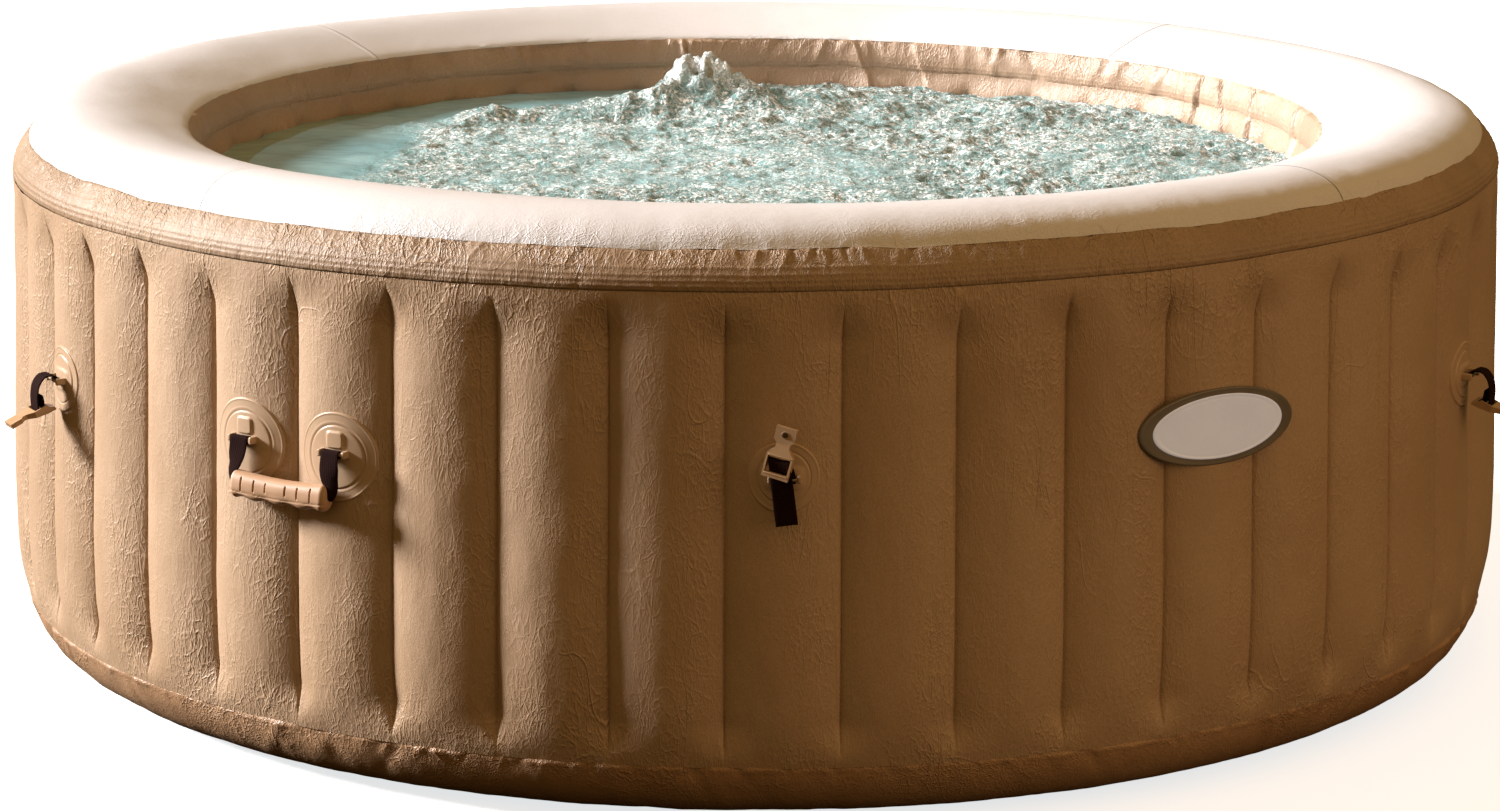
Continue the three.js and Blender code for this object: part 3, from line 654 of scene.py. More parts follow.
def disc_grid(radius_x, radius_v, rings, sides):
    """x and v over an ellipse, with the share of the way out."""
    share, angle = np.meshgrid(rings, turns(sides), indexing="ij")
    return share * radius_x * np.cos(angle), share * radius_v * np.sin(angle), share


def tube_faces(rows, around, flip=False):
    """Faces of a tube of rows, closed at both ends."""
    first = list(range(around))
    last = list(range((rows - 1) * around, rows * around))
    ends = [first, last[::-1]] if flip else [first[::-1], last]
    return grid_faces(rows, around, wrap_cols=True, flip=flip) + ends


class Pile:
    """Several closed parts of one piece, gathered into one mesh."""

    def __init__(self):
        self.points, self.faces, self.uvs, self.count = [], [], [], 0

    def add(self, points, faces, uvs=None):
        flat = np.asarray(points, float).reshape(-1, 3)
        self.faces += [[i + self.count for i in face] for face in faces]
        self.points.append(flat)
        self.uvs.append(np.zeros((len(flat), 2)) if uvs is None else np.asarray(uvs, float).reshape(-1, 2))
        self.count += len(flat)

    def piece(self, name):
        return mesh_piece(name, np.concatenate(self.points), self.faces, np.concatenate(self.uvs))


def rounded_bar(pile, place, x0, x1, u, v, radius, around=20):
    """A round bar along x with softened ends. place turns x, u, v into points."""
    xs = np.array([x0, x0, x0 + 0.25, x0 + 0.6, x1 - 0.6, x1 - 0.25, x1, x1])
    rs = radius * np.array([0.02, 0.7, 0.93, 1, 1, 0.93, 0.7, 0.02])
    angle = turns(around)
    pile.add(place(xs[:, None] + 0 * angle, u + rs[:, None] * np.cos(angle), v + rs[:, None] * np.sin(angle)),
             tube_faces(len(xs), around))


def squared(wave, power):
    """A sine or cosine drawn towards the corners of a rounded rectangle."""
    return np.sign(wave) * np.abs(wave) ** power


def rounded_post(pile, place, x, u0, u1, v, half_x, half_v, around=28):
    """A post that stands off the wall, with a rounded rectangular section and a soft top."""
    angle = turns(around)
    us = np.array([u0, u0 + 0.6, u0 + 1.4, u1 - 0.9, u1 - 0.35, u1, u1])[:, None]
    ks = np.array([1.22, 1.08, 1.0, 1.0, 0.9, 0.72, 0.02])[:, None]
    across, up = half_x * ks * squared(np.cos(angle), 0.45), half_v * ks * squared(np.sin(angle), 0.45)
    pile.add(place(x + across, us + 0 * angle, v + up), tube_faces(len(us), around, flip=True))


PIVOT_U = 13.0  # a latch's anchor bar, out from the wall
BAR_OUT, BAR_DROP = 11, 5  # a handle patch's bar, out from the wall and down from the middle of its seat


def patch_piece(name, node, seat, radius, inner, boss):
    """A welded round patch: a rim ridge, a ring groove, a raised middle, two posts and a bar."""
    pile = Pile()
    rings = np.concatenate([[0.001], np.linspace(0.03, 0.93, 52), np.linspace(0.94, 1.0, 12), [1.012]])
    x, v, share = disc_grid(radius, radius, rings, 120)
    away = share * radius
    height = 1.3 * smooth((radius - away) / 1.1) - 0.5 * (share > 1.001)
    height = height + 0.42 * ridge(away - (radius - 2.2), 0.9)
    height = height - 0.9 * ridge(away - inner, 0.75) + 0.7 * smooth((inner - away) / 1.6)
    box_x, box_v = np.abs(x) / 21, np.abs(v + 0.5) / (11 if boss else 13)
    height = height + (0.3 if boss else 1.6) * smooth((1.25 - (box_x**4 + box_v**4) ** 0.25) / 0.45)
    if boss:
        tab_x, tab_v = np.abs(x) / 10.5, np.abs(v - 20) / 9
        height = height + 2.2 * smooth((1.16 - (tab_x**6 + tab_v**6) ** (1 / 6)) / 0.22)
        height = height + 0.35 * ridge(away - radius * 0.77, 1.0)
    pile.add(seat.on_wall(x, v, height), grid_faces(len(rings), 120, wrap_cols=True))
    bar_u, bar_v = (BAR_OUT, BAR_DROP) if boss else (PIVOT_U, 0)
    for side in (-1, 1):
        rounded_post(pile, seat.at, side * 16.5, 1.2, bar_u + 3.2, bar_v, 2.2, 4.2)
    rounded_bar(pile, seat.at, -16.6, 16.6, bar_u, bar_v, 2.0)
    return finish_piece(pile.piece(name), "tub", patch_vinyl, [node])


def curve_points(knots, steps):
    """Evenly spaced points on a Catmull-Rom curve through the knots."""
    k = np.array([knots[0], *knots, knots[-1]], float)
    dense = []
    for a, b, c, d in zip(k, k[1:], k[2:], k[3:]):
        t = np.linspace(0, 1, 24, endpoint=False)[:, None]
        square, cube = (2 * a - 5 * b + 4 * c - d) * t**2, (3 * b - a - 3 * c + d) * t**3
        dense.append(0.5 * (2 * b + (c - a) * t + square + cube))
    dense = np.concatenate([*dense, [k[-1]]])
    length = np.concatenate([[0], np.cumsum(np.linalg.norm(np.diff(dense, axis=0), axis=1))])
    wanted = np.linspace(0, length[-1], steps)
    return np.stack([np.interp(wanted, length, dense[:, i]) for i in range(dense.shape[1])], -1), wanted


UNTWISTED = ((0, 0, 0), (1, 0, 0))
WEB_THICK = 1.7
FULL_WIDTH = ((0, 25), (1, 25))


def strap_part(pile, place, knots, steps, widths=FULL_WIDTH, cup=0.0, skew=0.0, twist=UNTWISTED):
    """Webbing along a line of (x, u, v), as wide as widths says at shares of its length, with rounded
    selvedges. twist gives a share of the length, a yaw and a roll of the webbing's width."""
    line, length = curve_points(knots, steps)
    tangent = np.gradient(line, axis=0)
    tangent /= np.linalg.norm(tangent, axis=1, keepdims=True)
    share = np.linspace(0, 1, steps)
    width = np.interp(share, *zip(*widths))
    at, yaws, rolls = zip(*twist)
    yaw = np.interp(share, at, yaws) + skew * smooth((share - 0.3) / 0.7)
    roll = np.interp(share, at, rolls)
    across = np.stack([np.cos(yaw) * np.cos(roll), np.sin(yaw), -np.cos(yaw) * np.sin(roll)], -1)
    across -= tangent * (across * tangent).sum(1, keepdims=True)
    across /= np.linalg.norm(across, axis=1, keepdims=True)
    face = np.cross(across, tangent)
    flat = np.linspace(-1, 1, 11)
    loop = [(w, 0.5) for w in flat * 0.97] + [(1, 0.25), (1, -0.25)]
    loop = np.array([*loop, *[(w, -0.5) for w in -flat * 0.97], (-1, -0.25), (-1, 0.25)])
    bulge = cup * smooth((share[:, None] - 0.35) / 0.3) * (1 - loop[None, :, 0] ** 2)
    offset = (across[:, None] * (loop[None, :, :1] * width[:, None, None] / 2)
              + face[:, None] * (loop[None, :, 1:] * WEB_THICK + bulge[..., None]))
    points = line[:, None] + offset
    along = np.broadcast_to(length[:, None], points.shape[:2])
    uv = np.stack([along, loop[None, :, 0] * width[:, None] / 2], -1) * MM
    pile.add(place(*np.moveaxis(points, -1, 0)), tube_faces(steps, len(loop)), uv)


def around_bar(u, v, radius, start, end, count=9):
    """Points of (x, u, v) round a bar, from one angle to another in degrees, 0 outwards and 90 up."""
    angles = np.radians(np.linspace(start, end, count))
    return [(0, u + radius * math.cos(a), v + radius * math.sin(a)) for a in angles]


# ---- Latches ----
LADDER = (22.5, 20.0)  # u and v of the ladder bar on the standing buckle
LOOP = 4.0  # the webbing's middle line round a bar
HANG_ANGLE = math.radians(115)
LATCHES = [int(name.split("_")[1]) for name in joints if name.endswith("_lock_turn")]
# The standing buckle leans and turns a little. LEAN_X, LEAN_U and LEAN_V keep its lock on the axis that it
# turns about, LOCK_RISE above the ladder bar and LOCK_OUT in front of it.
LEAN_YAW, LEAN_ROLL = math.radians(19), math.radians(13)
LOCK_RISE, LOCK_OUT = 34.0, 3.0
LEAN_X = LOCK_OUT * math.sin(LEAN_YAW) - LOCK_RISE * math.sin(LEAN_ROLL) * math.cos(LEAN_YAW)
LEAN_U = LOCK_OUT * (math.cos(LEAN_YAW) - 1) + LOCK_RISE * math.sin(LEAN_ROLL) * math.sin(LEAN_YAW)
LEAN_V = LOCK_RISE * (1 - math.cos(LEAN_ROLL))


def turned_place(seat, pivot_u, pivot_v, angle):
    """Places points drawn on the upright buckle, turned outwards about the ladder bar."""
    c, s = math.cos(angle), math.sin(angle)

    def place(x, u, v):
        du, dv = np.asarray(u) - LADDER[0], np.asarray(v) - LADDER[1]
        return seat.at(x, pivot_u + du * c + dv * s, pivot_v + dv * c - du * s)

    return place


def leaning_places(seat):
    """Places for the standing buckle, and for its lock, which moves with it but stays upright."""
    def lean(x, u, v):
        x, du, dv = np.asarray(x, float), np.asarray(u) - LADDER[0], np.asarray(v) - LADDER[1]
        x, dv = (x * math.cos(LEAN_ROLL) + dv * math.sin(LEAN_ROLL),
                 dv * math.cos(LEAN_ROLL) - x * math.sin(LEAN_ROLL))
        x, du = (x * math.cos(LEAN_YAW) - du * math.sin(LEAN_YAW),
                 du * math.cos(LEAN_YAW) + x * math.sin(LEAN_YAW))
        return seat.at(x + LEAN_X, LADDER[0] + du, LADDER[1] + dv + LEAN_V)

    def upright(x, u, v):
        return seat.at(x, np.asarray(u) + LEAN_U, v)

    return lean, upright


def moulded_copy(node, seat, place, material, width):
    """A CAD node's own shape with softened edges, set where place puts its points."""
    source = frame["nodes"][node]
    points = np.array([source.matrix_world @ v.co for v in source.data.vertices])
    faces = [list(f.vertices) for f in source.data.polygons]
    piece = mesh_piece(f"{node}_moulding", place(*seat.measure(points)), faces)
    round_edges(piece, width)
    return finish_piece(piece, node, material, [node])


def trim_piece(number, place):
    """A raised lip above and below the buckle's window, and a ring round its lock."""
    pile = Pile()
    for u, v in ((30.6, 8.2), (27.6, 29.2)):
        rounded_bar(pile, place, -13.6, 13.6, u, v, 0.8, 12)
    a, t = np.meshgrid(turns(28), turns(10), indexing="ij")
    ring = 4.0 + 0.5 * np.cos(t)
    pile.add(place(ring * np.cos(a), 25.5 + 0.5 * np.sin(t), 54 + ring * np.sin(a)),
             grid_faces(28, 10, wrap_rows=True, wrap_cols=True))
    piece = pile.piece(f"latch_{number}_buckle_trim")
    return finish_piece(piece, f"latch_{number}_buckle", latch_plastic)


def round_edges(node, width):
    """Softens a moulding's edges."""
    bevel = node.modifiers.new("soft_edges", "BEVEL")
    bevel.width = width
    bevel.segments = 3
    bevel.limit_method = "ANGLE"
    bevel.angle_limit = math.radians(38)
    bevel.harden_normals = False
    even = node.modifiers.new("even_faces", "WEIGHTED_NORMAL")
    even.keep_sharp = True


def standing_webbing(pile, seat):
    """Up from the anchor bar, over the ladder bar and down in front, with a folded hem at its end."""
    line = around_bar(PIVOT_U, 0, LOOP, -60, -330, 10) + [(-1.5, 17.2, 9), (-4.0, 18.2, 15)]
    line += [(LEAN_X, u, v) for _, u, v in around_bar(LADDER[0], LADDER[1] + LEAN_V, LOOP, 170, 8)]
    line += [(-5.6, 26.4, 15), (-5.0, 24.6, 9), (-3.8, 23.0, 1)]
    line += [(-1.8, 22.3, -14), (0.2, 22.4, -30), (2.6, 23.0, -50)]
    twist = [(0, 0, 0), (0.16, 0, 0), (0.32, LEAN_YAW, LEAN_ROLL), (0.46, LEAN_YAW, LEAN_ROLL),
             (0.65, 0.14, -0.06), (1, 0.10, 0.08)]
    strap_part(pile, seat.at, line, 130, twist=twist)
    hem = [(-0.8, 20.6, -22), (0.2, 20.9, -34), (2.6, 21.3, -50.4)]
    strap_part(pile, seat.at, hem, 12, [(0, 24.6), (1, 24.6)], twist=[(0, 0.12, -0.04), (1, 0.10, 0.08)])


def hanging_webbing(pile, seat, hang_u, hang_v):
    """Out from the anchor bar, over in an arch and down round the ladder bar."""
    line = around_bar(PIVOT_U, 0, LOOP, -110, -268)
    line += [(0, 14.5, 5.2), (0, 20, 7.2), (0, 28.5, 5.4), (0, 35.5, -3.4), (0, 38.1, -15), (0, 38.4, -24)]
    line += around_bar(hang_u, hang_v, LOOP, 8, -210)
    line += [(0, hang_u - 3.2, hang_v + 9), (0, hang_u - 1.6, hang_v + 17)]
    strap_part(pile, seat.at, line, 130)


for number in LATCHES:
    latch = f"latch_{number}"
    azimuth, distance, z = joint_place(f"{latch}_swing")
    seat = Seat(azimuth, distance - PIVOT_U * MM, z)
    patch_piece(f"{latch}_patch_weld", f"{latch}_patch", seat, 41.0, 30.0, False)
    _, ladder_distance, ladder_z = joint_place(f"{latch}_buckle_tilt")
    hang_u, hang_v = (ladder_distance - seat.distance) / MM, (ladder_z - z) / MM
    strap = Pile()
    if hang_v > 0:
        place, lock_place = leaning_places(seat)
        trim_place = place
        standing_webbing(strap, seat)
    else:
        place, lock_place, trim_place = seat.at, seat.at, turned_place(seat, hang_u, hang_v, HANG_ANGLE)
        hanging_webbing(strap, seat, hang_u, hang_v)
    body = f"{latch}_strap"
    finish_piece(strap.piece(f"{body}_webbing"), body, webbing, [body])
    moulded_copy(f"{latch}_buckle", seat, place, latch_plastic, 0.0006)
    moulded_copy(f"{latch}_lock", seat, lock_place, lock_plastic, 0.0003)
    trim_piece(number, trim_place)


# ---- Carry handles ----
HANDLE_LEAN = math.radians(7)
SLOTS = ((-51, 8.2), (-32, 6.6), (-14.5, 5.4), (14.5, 5.4), (32, 6.6), (51, 8.2))  # x and half height
GRIP_HALF, GRIP_DROP, HANDLE_LOOP = 70.0, 51.0, 4.2


def grip_piece(name, place):
    """The moulded grip: waisted above, finger-waved below, with six slots and a lower panel."""
    along, around = 260, 72
    sv, a = np.meshgrid(np.linspace(-1, 1, along), turns(around), indexing="ij")
    end = dome((1 - np.abs(sv)) / 0.10)
    x = sv * GRIP_HALF
    top = 13.0 + 4.0 * sv**2
    low = 15.6 + 1.5 * np.cos(4 * math.pi * sv) * (np.abs(sv) < 0.9)
    up = np.sin(a)
    height = np.where(up > 0, top, low) * (0.35 + 0.65 * end)
    depth = 11.8 * (0.35 + 0.65 * end)
    cu, cv = squared(np.cos(a), 0.8), squared(up, 0.8)
    u, v = depth * cu, height * cv
    front = smooth((cu - 0.15) / 0.25)
    panel = -7.2 - 2.6 * (1 - sv**2)
    u = u - 0.9 * ridge(v - panel, 0.6) * front + 0.5 * smooth((panel - v) / 0.8) * front
    plate = smooth((1.1 - np.maximum(np.abs(x) / 13.5, np.abs(v - 2.0) / 5.5)) / 0.14) * front
    u = u + 0.35 * plate
    for centre, tall in SLOTS:
        cut = np.exp(-(((x - centre) / 0.85) ** 4)) * smooth((tall - np.abs(v - 1.5)) / 1.0)
        u = u - 3.4 * cut * front
    pile = Pile()
    pile.add(place(x, u + HANDLE_LOOP, v - GRIP_DROP), tube_faces(along, around))
    return pile.piece(name)


def handle_legs(pile, place, bar_x):
    """Two runs of webbing, from a loop round each patch's bar to the grip's ends."""
    for side in (-1, 1):
        bar, foot = side * bar_x, side * (GRIP_HALF + 2.2)
        line = [(bar, u, v) for _, u, v in around_bar(0, 0, HANDLE_LOOP - 0.2, -100, -345, 10)]
        line += [(bar, 4.4, -6), (bar + side * 0.4, 4.8, -14), (bar + side * 2.6, 5.0, -27),
                 (foot + side * 1.2, 4.6, -38), (foot + side * 0.6, 4.3, -47), (foot - side * 3.0, 4.2, -52)]
        widths = [(0, 25), (0.5, 25), (0.62, 22), (0.8, 15), (0.93, 11), (1, 9)]
        strap_part(pile, place, line, 90, widths, cup=1.2, skew=side * -0.5)


def leaned_place(seat):
    """Places points drawn on the upright handle, leaned outwards about its hinge."""
    c, s = math.cos(HANDLE_LEAN), math.sin(HANDLE_LEAN)

    def place(x, u, v):
        return seat.at(x, np.asarray(u) * c - np.asarray(v) * s, np.asarray(v) * c + np.asarray(u) * s)

    return place


for handle in ("handle_1", "handle_2"):
    azimuth, distance, z = joint_place(f"{handle}_swing")
    leaned = leaned_place(Seat(azimuth, distance, z))
    for side, label in ((-1, "left"), (1, "right")):
        node = f"{handle}_{label}_patch"
        crest = distance / math.cos(PITCH / 2) - BAR_OUT * MM
        seat = Seat(azimuth + side * PITCH / 2, crest, z - BAR_DROP * MM)
        patch_piece(f"{node}_weld", node, seat, 52.5, 37.0, True)
    legs = Pile()
    handle_legs(legs, leaned, distance * math.tan(PITCH / 2) / MM)
    finish_piece(legs.piece(f"{handle}_webbing_legs"), handle, webbing, [f"{handle}_webbing"])
    grip = grip_piece(f"{handle}_grip_moulding", leaned)
    finish_piece(grip, handle, grip_plastic, [f"{handle}_grip"])


# ---- Badge ----
def oval_piece(name, node, half_x, half_v, base, edge, material):
    """An oval plate bent to the wall, with a rounded edge. It has no lettering."""
    middle, azimuth = box_middle(node)
    rings = np.concatenate([[0.001], np.linspace(0.05, 0.93, 20), np.linspace(0.94, 1, 12), [1.001, 0.999]])
    x, v, share = disc_grid(half_x, half_v, rings, 160)
    away = (1 - np.minimum(share, 1)) * half_v
    height = base + edge * dome(away / edge)
    height = height - 0.35 * ridge(away - edge * 2.4, 0.5)
    height[-1] = base - 1.2
    height[-2] = base - 0.4
    wall = wall_profile(middle.z) + 0 * x
    phi = azimuth + x * MM / wall
    points = ring_points(phi, wall + height * MM, middle.z + v * MM)
    piece = mesh_piece(name, points, grid_faces(len(rings), 160, wrap_cols=True))
    return finish_piece(piece, "tub", material, [node])


oval_piece("badge_plate_oval", "badge_plate", 113.0, 45.0, 0.6, 1.6, badge_dark)
oval_piece("badge_face_oval", "badge_face", 95.0, 37.5, 1.9, 1.2, badge_light)


# ---- Ports and valves ----
def turned_part(pile, seat, outline, ribs=0, rib_depth=0.0, ribbed=(), sides=96):
    """A piece turned about the outward axis from [u, radius], with ribs where u lies in ribbed."""
    angle = turns(sides)
    u, r = (np.array(column)[:, None] + 0 * angle for column in zip(*outline))
    if ribs:
        on = ((u > ribbed[0]) & (u < ribbed[1])).astype(float)
        r = r - rib_depth * on * (0.5 + 0.5 * np.cos(angle * ribs)) ** 3
    faces = grid_faces(len(outline), sides, wrap_cols=True, flip=True)
    pile.add(seat.at(r * np.cos(angle), u, r * np.sin(angle)), faces)


def soft_outline(points, radius=0.8):
    """Rounds the corners of an outline of [u, radius]."""
    made = [points[0]]
    for a, b, c in zip(points, points[1:], points[2:]):
        a, b, c = (np.array(p, float) for p in (a, b, c))
        cut = min(radius, np.linalg.norm(a - b) * 0.4, np.linalg.norm(c - b) * 0.4)
        first = b + (a - b) / np.linalg.norm(a - b) * cut
        last = b + (c - b) / np.linalg.norm(c - b) * cut
        made += [list((1 - t) ** 2 * first + 2 * t * (1 - t) * b + t * t * last) for t in (0, 0.33, 0.67, 1)]
    return [*made, points[-1]]


def cap_piece(cap, collar, near, far, wall):
    """A ribbed screw cap over a collar, from near to far along its axis, with grips across its sunk face."""
    azimuth, distance, z = joint_place(f"{cap}_turn")
    seat = Seat(azimuth, distance - 10 * MM, z)
    outer = collar + wall
    pile = Pile()
    outline = [[far - 1.6, 0.01], [far - 1.6, outer * 0.55], [far, outer * 0.62], [far, outer]]
    outline += [[near, outer], [near, collar + 0.35], [far - 2.4, collar + 0.3], [far - 2.4, 0.01]]
    turned_part(pile, seat, soft_outline(outline), 24, 0.9, (near + 1.5, far - 1.0), sides=192)
    for angle in (0, 60, 120):
        x, v = math.cos(math.radians(angle)), math.sin(math.radians(angle))
        reach = outer * 0.52
        t = np.linspace(-1, 1, 9)[:, None]
        w = np.array([-1, -0.6, 0, 0.6, 1])[None, :] * 1.3
        h = np.array([0, 0.8, 1.0, 0.8, 0])[None, :] * (1 - t**8)
        grip = seat.at(t * reach * x - w * v, far - 1.65 + h + 0 * t, t * reach * v + w * x)
        pile.add(grip, grid_faces(9, 5))
    piece = pile.piece(f"{cap}_moulding")
    return finish_piece(piece, cap, port_plastic, [cap]), seat


def flange_piece(node, seat, bore, tube, flange, stub, inner):
    """A moulded flange welded round a tube, with a ring of small bosses."""
    pile = Pile()
    hole = tube / flange
    rings = np.concatenate([[hole], np.linspace(hole + 0.02, 0.96, 26), [0.98, 0.99, 1.0, 1.01]])
    x, v, share = disc_grid(flange, flange, rings, 144)
    away = share * flange
    height = 3.0 * dome((flange - away) / 2.5)
    height = height - 1.0 * ridge(away - flange * 0.84, 1.1) - 0.5 * (share > 1.005)
    middle = (tube + flange * 0.8) / 2
    for i in range(8):
        a = i * TAU / 8 + 0.2
        d = np.hypot(x - middle * math.cos(a), v - middle * math.sin(a))
        height = height + 1.1 * smooth((4.2 - d) / 1.2) - 0.9 * smooth((2.0 - d) / 0.8)
    pile.add(seat.on_wall(x, v, height), grid_faces(len(rings), 144, wrap_cols=True))
    start = inner - seat.distance / MM
    outline = [[1.0, tube + 2.5], [4.2, tube + 0.8], [6, tube], [stub - 1, tube], [stub, tube - 0.8]]
    outline += [[stub, bore + 0.8], [stub - 0.8, bore], [start, bore], [start, tube], [1.0, tube]]
    outline.append([1.0, tube + 2.5])
    turned_part(pile, seat, outline)
    return finish_piece(pile.piece(f"{node}_moulding"), "tub", port_plastic, [node])


for name in ("inlet", "outlet", "air"):
    _, seat = cap_piece(f"{name}_port_cap", 28.0, 10.0, 37.0, 4.0)
    flange_piece(f"{name}_port", seat, 25.0, 28.0, 48.0, 32.0, 702.0)
_, seat = cap_piece("drain_valve_cap", 17.0, 8.0, 26.0, 2.6)
flange_piece("drain_valve_body", seat, 13.0, 17.0, 34.0, 22.0, 721.0)
_, seat = cap_piece("air_valve_cap", 14.0, 5.0, 17.5, 2.6)
flange_piece("air_valve_body", seat, 12.0, 14.0, 30.0, 14.0, seat.distance / MM - 4.0)

CAD_LOOKS = {"air_valve_stem": latch_plastic, "inlet_strainer": port_plastic, "outlet_strainer": port_plastic,
             "bubble_channel": floor_vinyl, "tub_floor": floor_vinyl, "ground_sheet": floor_vinyl,
             "tie_webs": web_mesh}
for name, look in CAD_LOOKS.items():
    node = frame["nodes"][name]
    node.data.materials.clear()
    node.data.materials.append(look)


# ---- Water ----
PLUMES = ((-0.10, 0.52, 0.058, 0.060), (-0.04, 0.50, 0.030, 0.11), (0.14, 0.55, 0.022, 0.09),
          (-0.37, 0.42, 0.030, 0.05), (-0.22, 0.46, 0.022, 0.07), (0.36, 0.44, 0.020, 0.08),
          (0.50, 0.06, 0.015, 0.09), (0.08, 0.10, 0.015, 0.12))  # x, y, height and spread, in metres


def water_material():
    """Teal water under foam: lace of bubbles, with clearer water between."""
    n = Nodes("bubbling_water")
    here = n.place()
    place = n.warp(here, 34.0, 0.022)
    foam = n.attribute("foam")
    lace = n.remap(n.cells(n.warp(place, 90.0, 0.012), 100.0), 0.02, 0.20, 1.0, 0.0)
    fizz = n.remap(n.noise(place, 165.0, 4.0, 0.75), 0.49, 0.575)
    streaks = n.remap(n.noise(place, 19.0, 3.0, 0.6), 0.38, 0.58, 0.35, 1.0)
    froth = n.plus(n.times(lace, 0.34), fizz)
    white = n.times(n.times(froth, streaks), n.remap(foam, 0.15, 0.7), clamp=True)
    depth = n.remap(n.noise(here, 5.0, 3.0), 0.35, 0.65)
    clear = n.mix(depth, rgb(120, 162, 166), rgb(150, 188, 192))
    deep = n.mix(n.remap(foam, 0.2, 0.8), clear, rgb(100, 134, 132))
    white = n.plus(white, n.times(n.remap(foam, 1.0, 1.4), 0.4), clamp=True)
    height = n.times(n.plus(froth, n.noise(place, 240.0, 3.0)), foam)
    n.bump(n.plus(height, n.times(n.noise(here, 30.0, 3.0), 0.35)), 0.003, 0.9)
    colour = n.mix(white, deep, rgb(250, 250, 247))
    return n.set(color=colour, rough=n.remap(white, 0.0, 1.0, 0.16, 0.5), specular=0.22)


def water_foam(x, y, share):
    """How foamy the water is. It is calm at the left, along the back left wall and in a few patches."""
    calm = smooth((-0.46 - x + 0.09 * noise(x * 5, y * 5, seed=71) + 0.10 * y) / 0.12)
    back_left = smooth((share - 0.80 + 0.10 * noise(x * 9, y * 9, seed=79)) / 0.06)
    back_left = back_left * smooth((0.10 - x) / 0.25) * smooth((y + 0.1) / 0.2)
    patches = 0.3 * smooth((noise(x * 3, y * 3, seed=72) - 0.45) / 0.3)
    calm = np.maximum(np.maximum(calm, back_left), patches)
    return np.clip(1 - calm, 0, 1) * (0.75 + 0.25 * noise(x * 7, y * 7, seed=73))


def water_plumes(x, y):
    """Heaps of water over the jets, with rough edges."""
    rough_edge = 1 + 0.35 * noise(x * 22, y * 22, seed=77)
    plumes = 0
    for px, py, tall, wide in PLUMES:
        plumes = plumes + tall * np.exp(-(((x - px) ** 2 + (y - py) ** 2) / (wide * rough_edge) ** 2))
    return plumes * (1 + 0.30 * fractal(x * 48, y * 48, 0.4, seed=81, octaves=3))


def water_piece():
    """The bubbling surface out to the inner wall, closed below by a skirt and a flat bottom."""
    size = 460
    a, b = np.meshgrid(np.linspace(-1, 1, size), np.linspace(-1, 1, size), indexing="ij")
    x, y = a * np.sqrt(1 - b**2 / 2), b * np.sqrt(1 - a**2 / 2)
    share = np.hypot(x, y)
    phi = np.arctan2(x, -y)
    r = share * (inner_radius(phi, np.full_like(phi, WATER_Z)) - 0.0012)
    x, y = r * np.sin(phi), -r * np.cos(phi)
    foam, plumes = water_foam(x, y, share), water_plumes(x, y)
    swell = fractal(x * 9, y * 9, 0.3, seed=74, octaves=3) * 0.0065
    chop = (1 - np.abs(fractal(x * 26, y * 26, 0.7, seed=75, octaves=4))) * 0.010 - 0.005
    fizz = fractal(x * 95, y * 95, 0.2, seed=76, octaves=3) * 0.0024
    calmer = 1 - 0.35 * smooth(plumes / 0.035)
    still = fractal(x * 8, y * 8, seed=78) * 0.0022
    z = WATER_Z + foam * (swell + chop * calmer + fizz) + plumes * foam + (1 - foam) * still
    top = np.stack([x, y, z], -1).reshape(-1, 3)
    order = np.arange(size * size).reshape(size, size)
    border = np.concatenate([order[:, 0], order[-1, 1:], order[-2::-1, -1], order[0, -2:0:-1]])
    edge = top[border].copy()
    edge[:, 2] = WATER_Z - 0.06
    lower = np.arange(len(edge)) + size * size
    skirt = np.stack([border, lower, np.roll(lower, -1), np.roll(border, -1)], -1).tolist()
    values = np.concatenate([(foam + 9 * plumes * foam).ravel(), np.zeros(len(edge))])
    faces = grid_faces(size, size) + skirt + [lower.tolist()]
    piece = mesh_piece("bubbling_water", np.concatenate([top, edge]), faces, attributes=[("foam", values)])
    return finish_piece(piece, "tub", water_material())


water_piece()


# ---- Floor, light and camera ----
floor_nodes = Nodes("studio_floor")
floor_nodes.set(color=(0.86, 0.85, 0.83, 1), rough=0.9, specular=0.1, glow=(0.97, 1.0, 1.02, 1),
                glow_strength=0.75)
floor_corners = [(x, y, -0.0005) for x, y in ((-40, -40), (40, -40), (40, 60), (-40, 60))]
floor = mesh_piece("studio_floor", floor_corners, [[0, 1, 2, 3]])
floor.data.materials.append(floor_nodes.material)
floor.visible_diffuse = False
floor.visible_glossy = False

# The world looks pale to the camera, and lights the object with a warm glow that is brighter above.
world = bpy.data.worlds.new("studio")
bpy.context.scene.world = world
world.use_nodes = True
world_nodes, link = world.node_tree.nodes, world.node_tree.links.new
glow = world_nodes["Background"]
glow.inputs["Color"].default_value = (1.0, 0.626, 0.235, 1)
toward = world_nodes.new("ShaderNodeSeparateXYZ")
rising = world_nodes.new("ShaderNodeMapRange")
for label, value in (("From Min", -0.42), ("From Max", 0.5), ("To Min", 0.0), ("To Max", 0.39)):
    rising.inputs[label].default_value = value
pale = world_nodes.new("ShaderNodeBackground")
pale.inputs["Color"].default_value = (0.93, 0.92, 0.90, 1)
either = world_nodes.new("ShaderNodeMixShader")
link(world_nodes.new("ShaderNodeTexCoord").outputs["Generated"], toward.inputs[0])
link(toward.outputs["Z"], rising.inputs["Value"])
link(rising.outputs["Result"], glow.inputs["Strength"])
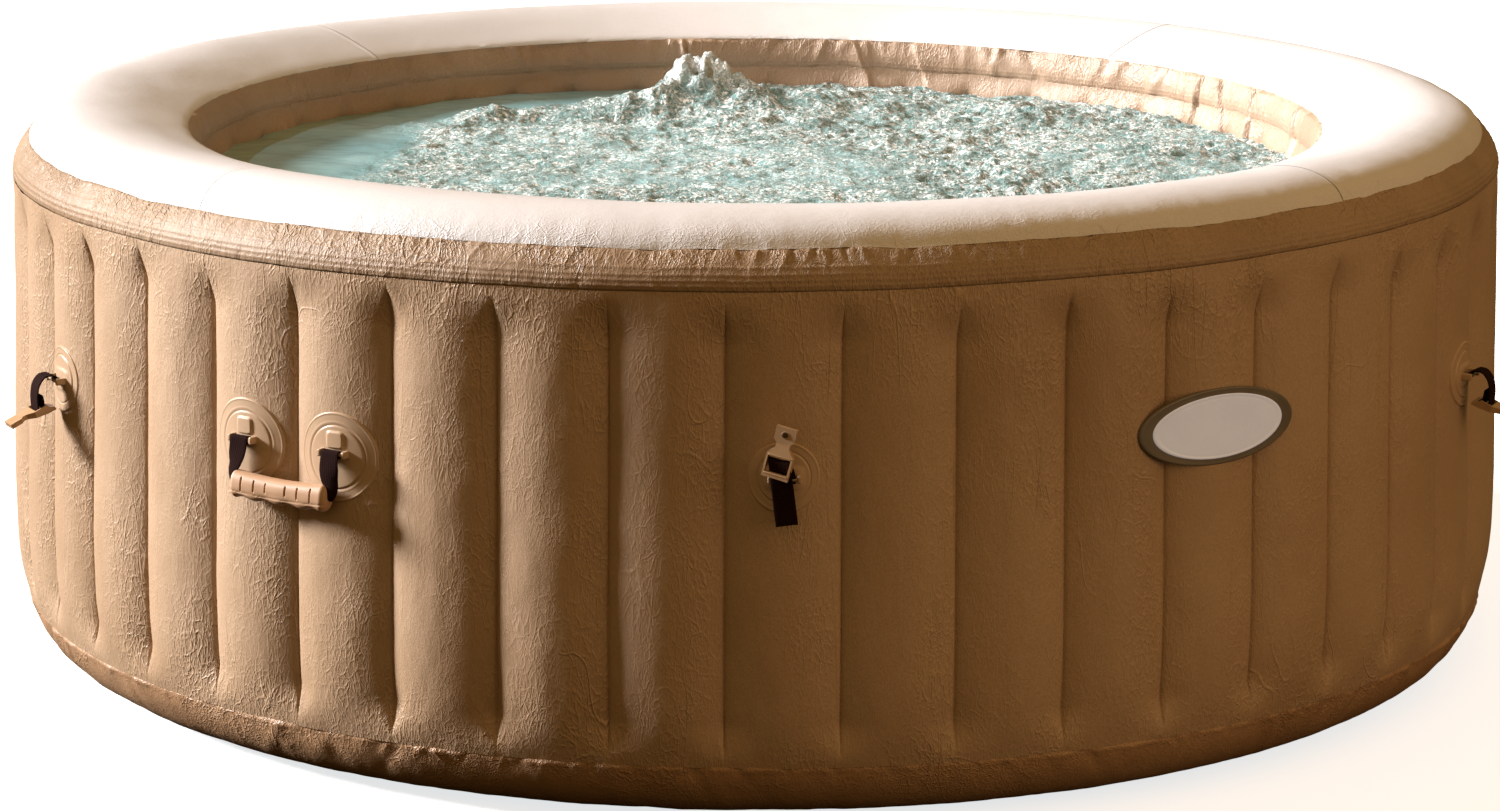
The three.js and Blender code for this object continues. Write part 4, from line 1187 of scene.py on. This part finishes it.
link(world_nodes.new("ShaderNodeLightPath").outputs["Is Camera Ray"], either.inputs[0])
link(glow.outputs[0], either.inputs[1])
link(pale.outputs[0], either.inputs[2])
link(either.outputs[0], world_nodes["World Output"].inputs[0])


def light_piece(name, kind, azimuth, height, distance, aim, energy, colour, **settings):
    """A light at an azimuth and elevation in degrees, turned to its aim."""
    data = bpy.data.lights.new(name, kind)
    data.energy, data.color = energy, colour
    for key, value in settings.items():
        setattr(data, key, value)
    light = bpy.data.objects.new(name, data)
    a, e = math.radians(azimuth), math.radians(height)
    towards = Vector((math.sin(a) * math.cos(e), -math.cos(a) * math.cos(e), math.sin(e)))
    light.location = Vector(aim) + towards * distance
    light.rotation_mode = "QUATERNION"
    light.rotation_quaternion = towards.to_track_quat("Z", "Y")
    bpy.context.scene.collection.objects.link(light)


light_piece("key_light", "SUN", -101, 24, 6, (0, 0, 0.4), 9.2, (1.0, 0.985, 0.99), angle=math.radians(14))
light_piece("inside_light", "SPOT", -70, 40, 7, (0.22, 0.26, 0.62), 1450, (1.0, 0.98, 0.97),
            spot_size=math.radians(11), spot_blend=0.5, shadow_soft_size=0.25)
light_piece("warm_fill", "AREA", 58, 12, 5, (0.3, -0.4, 0.3), 50, (1.0, 0.62, 0.33), size=3.0)

CAMERA = Vector((-0.0057, -5.6259, 1.5578))
PITCH_DOWN, ROLL = 0.2231, 0.0038
right, up = Vector((1, 0, 0)), Vector((0, math.sin(PITCH_DOWN), math.cos(PITCH_DOWN)))
forward = Vector((0, math.cos(PITCH_DOWN), -math.sin(PITCH_DOWN)))
camera = bpy.data.objects.new("camera", bpy.data.cameras.new("camera"))
camera.data.lens = 103.4
camera.data.sensor_width = 36
across = right * math.cos(ROLL) + up * math.sin(ROLL)
upward = up * math.cos(ROLL) - right * math.sin(ROLL)
camera.matrix_world = Matrix.Translation(CAMERA) @ Matrix((across, upward, -forward)).transposed().to_4x4()
bpy.context.scene.collection.objects.link(camera)
bpy.context.scene.camera = camera
bpy.context.scene.view_settings.view_transform = "Standard"
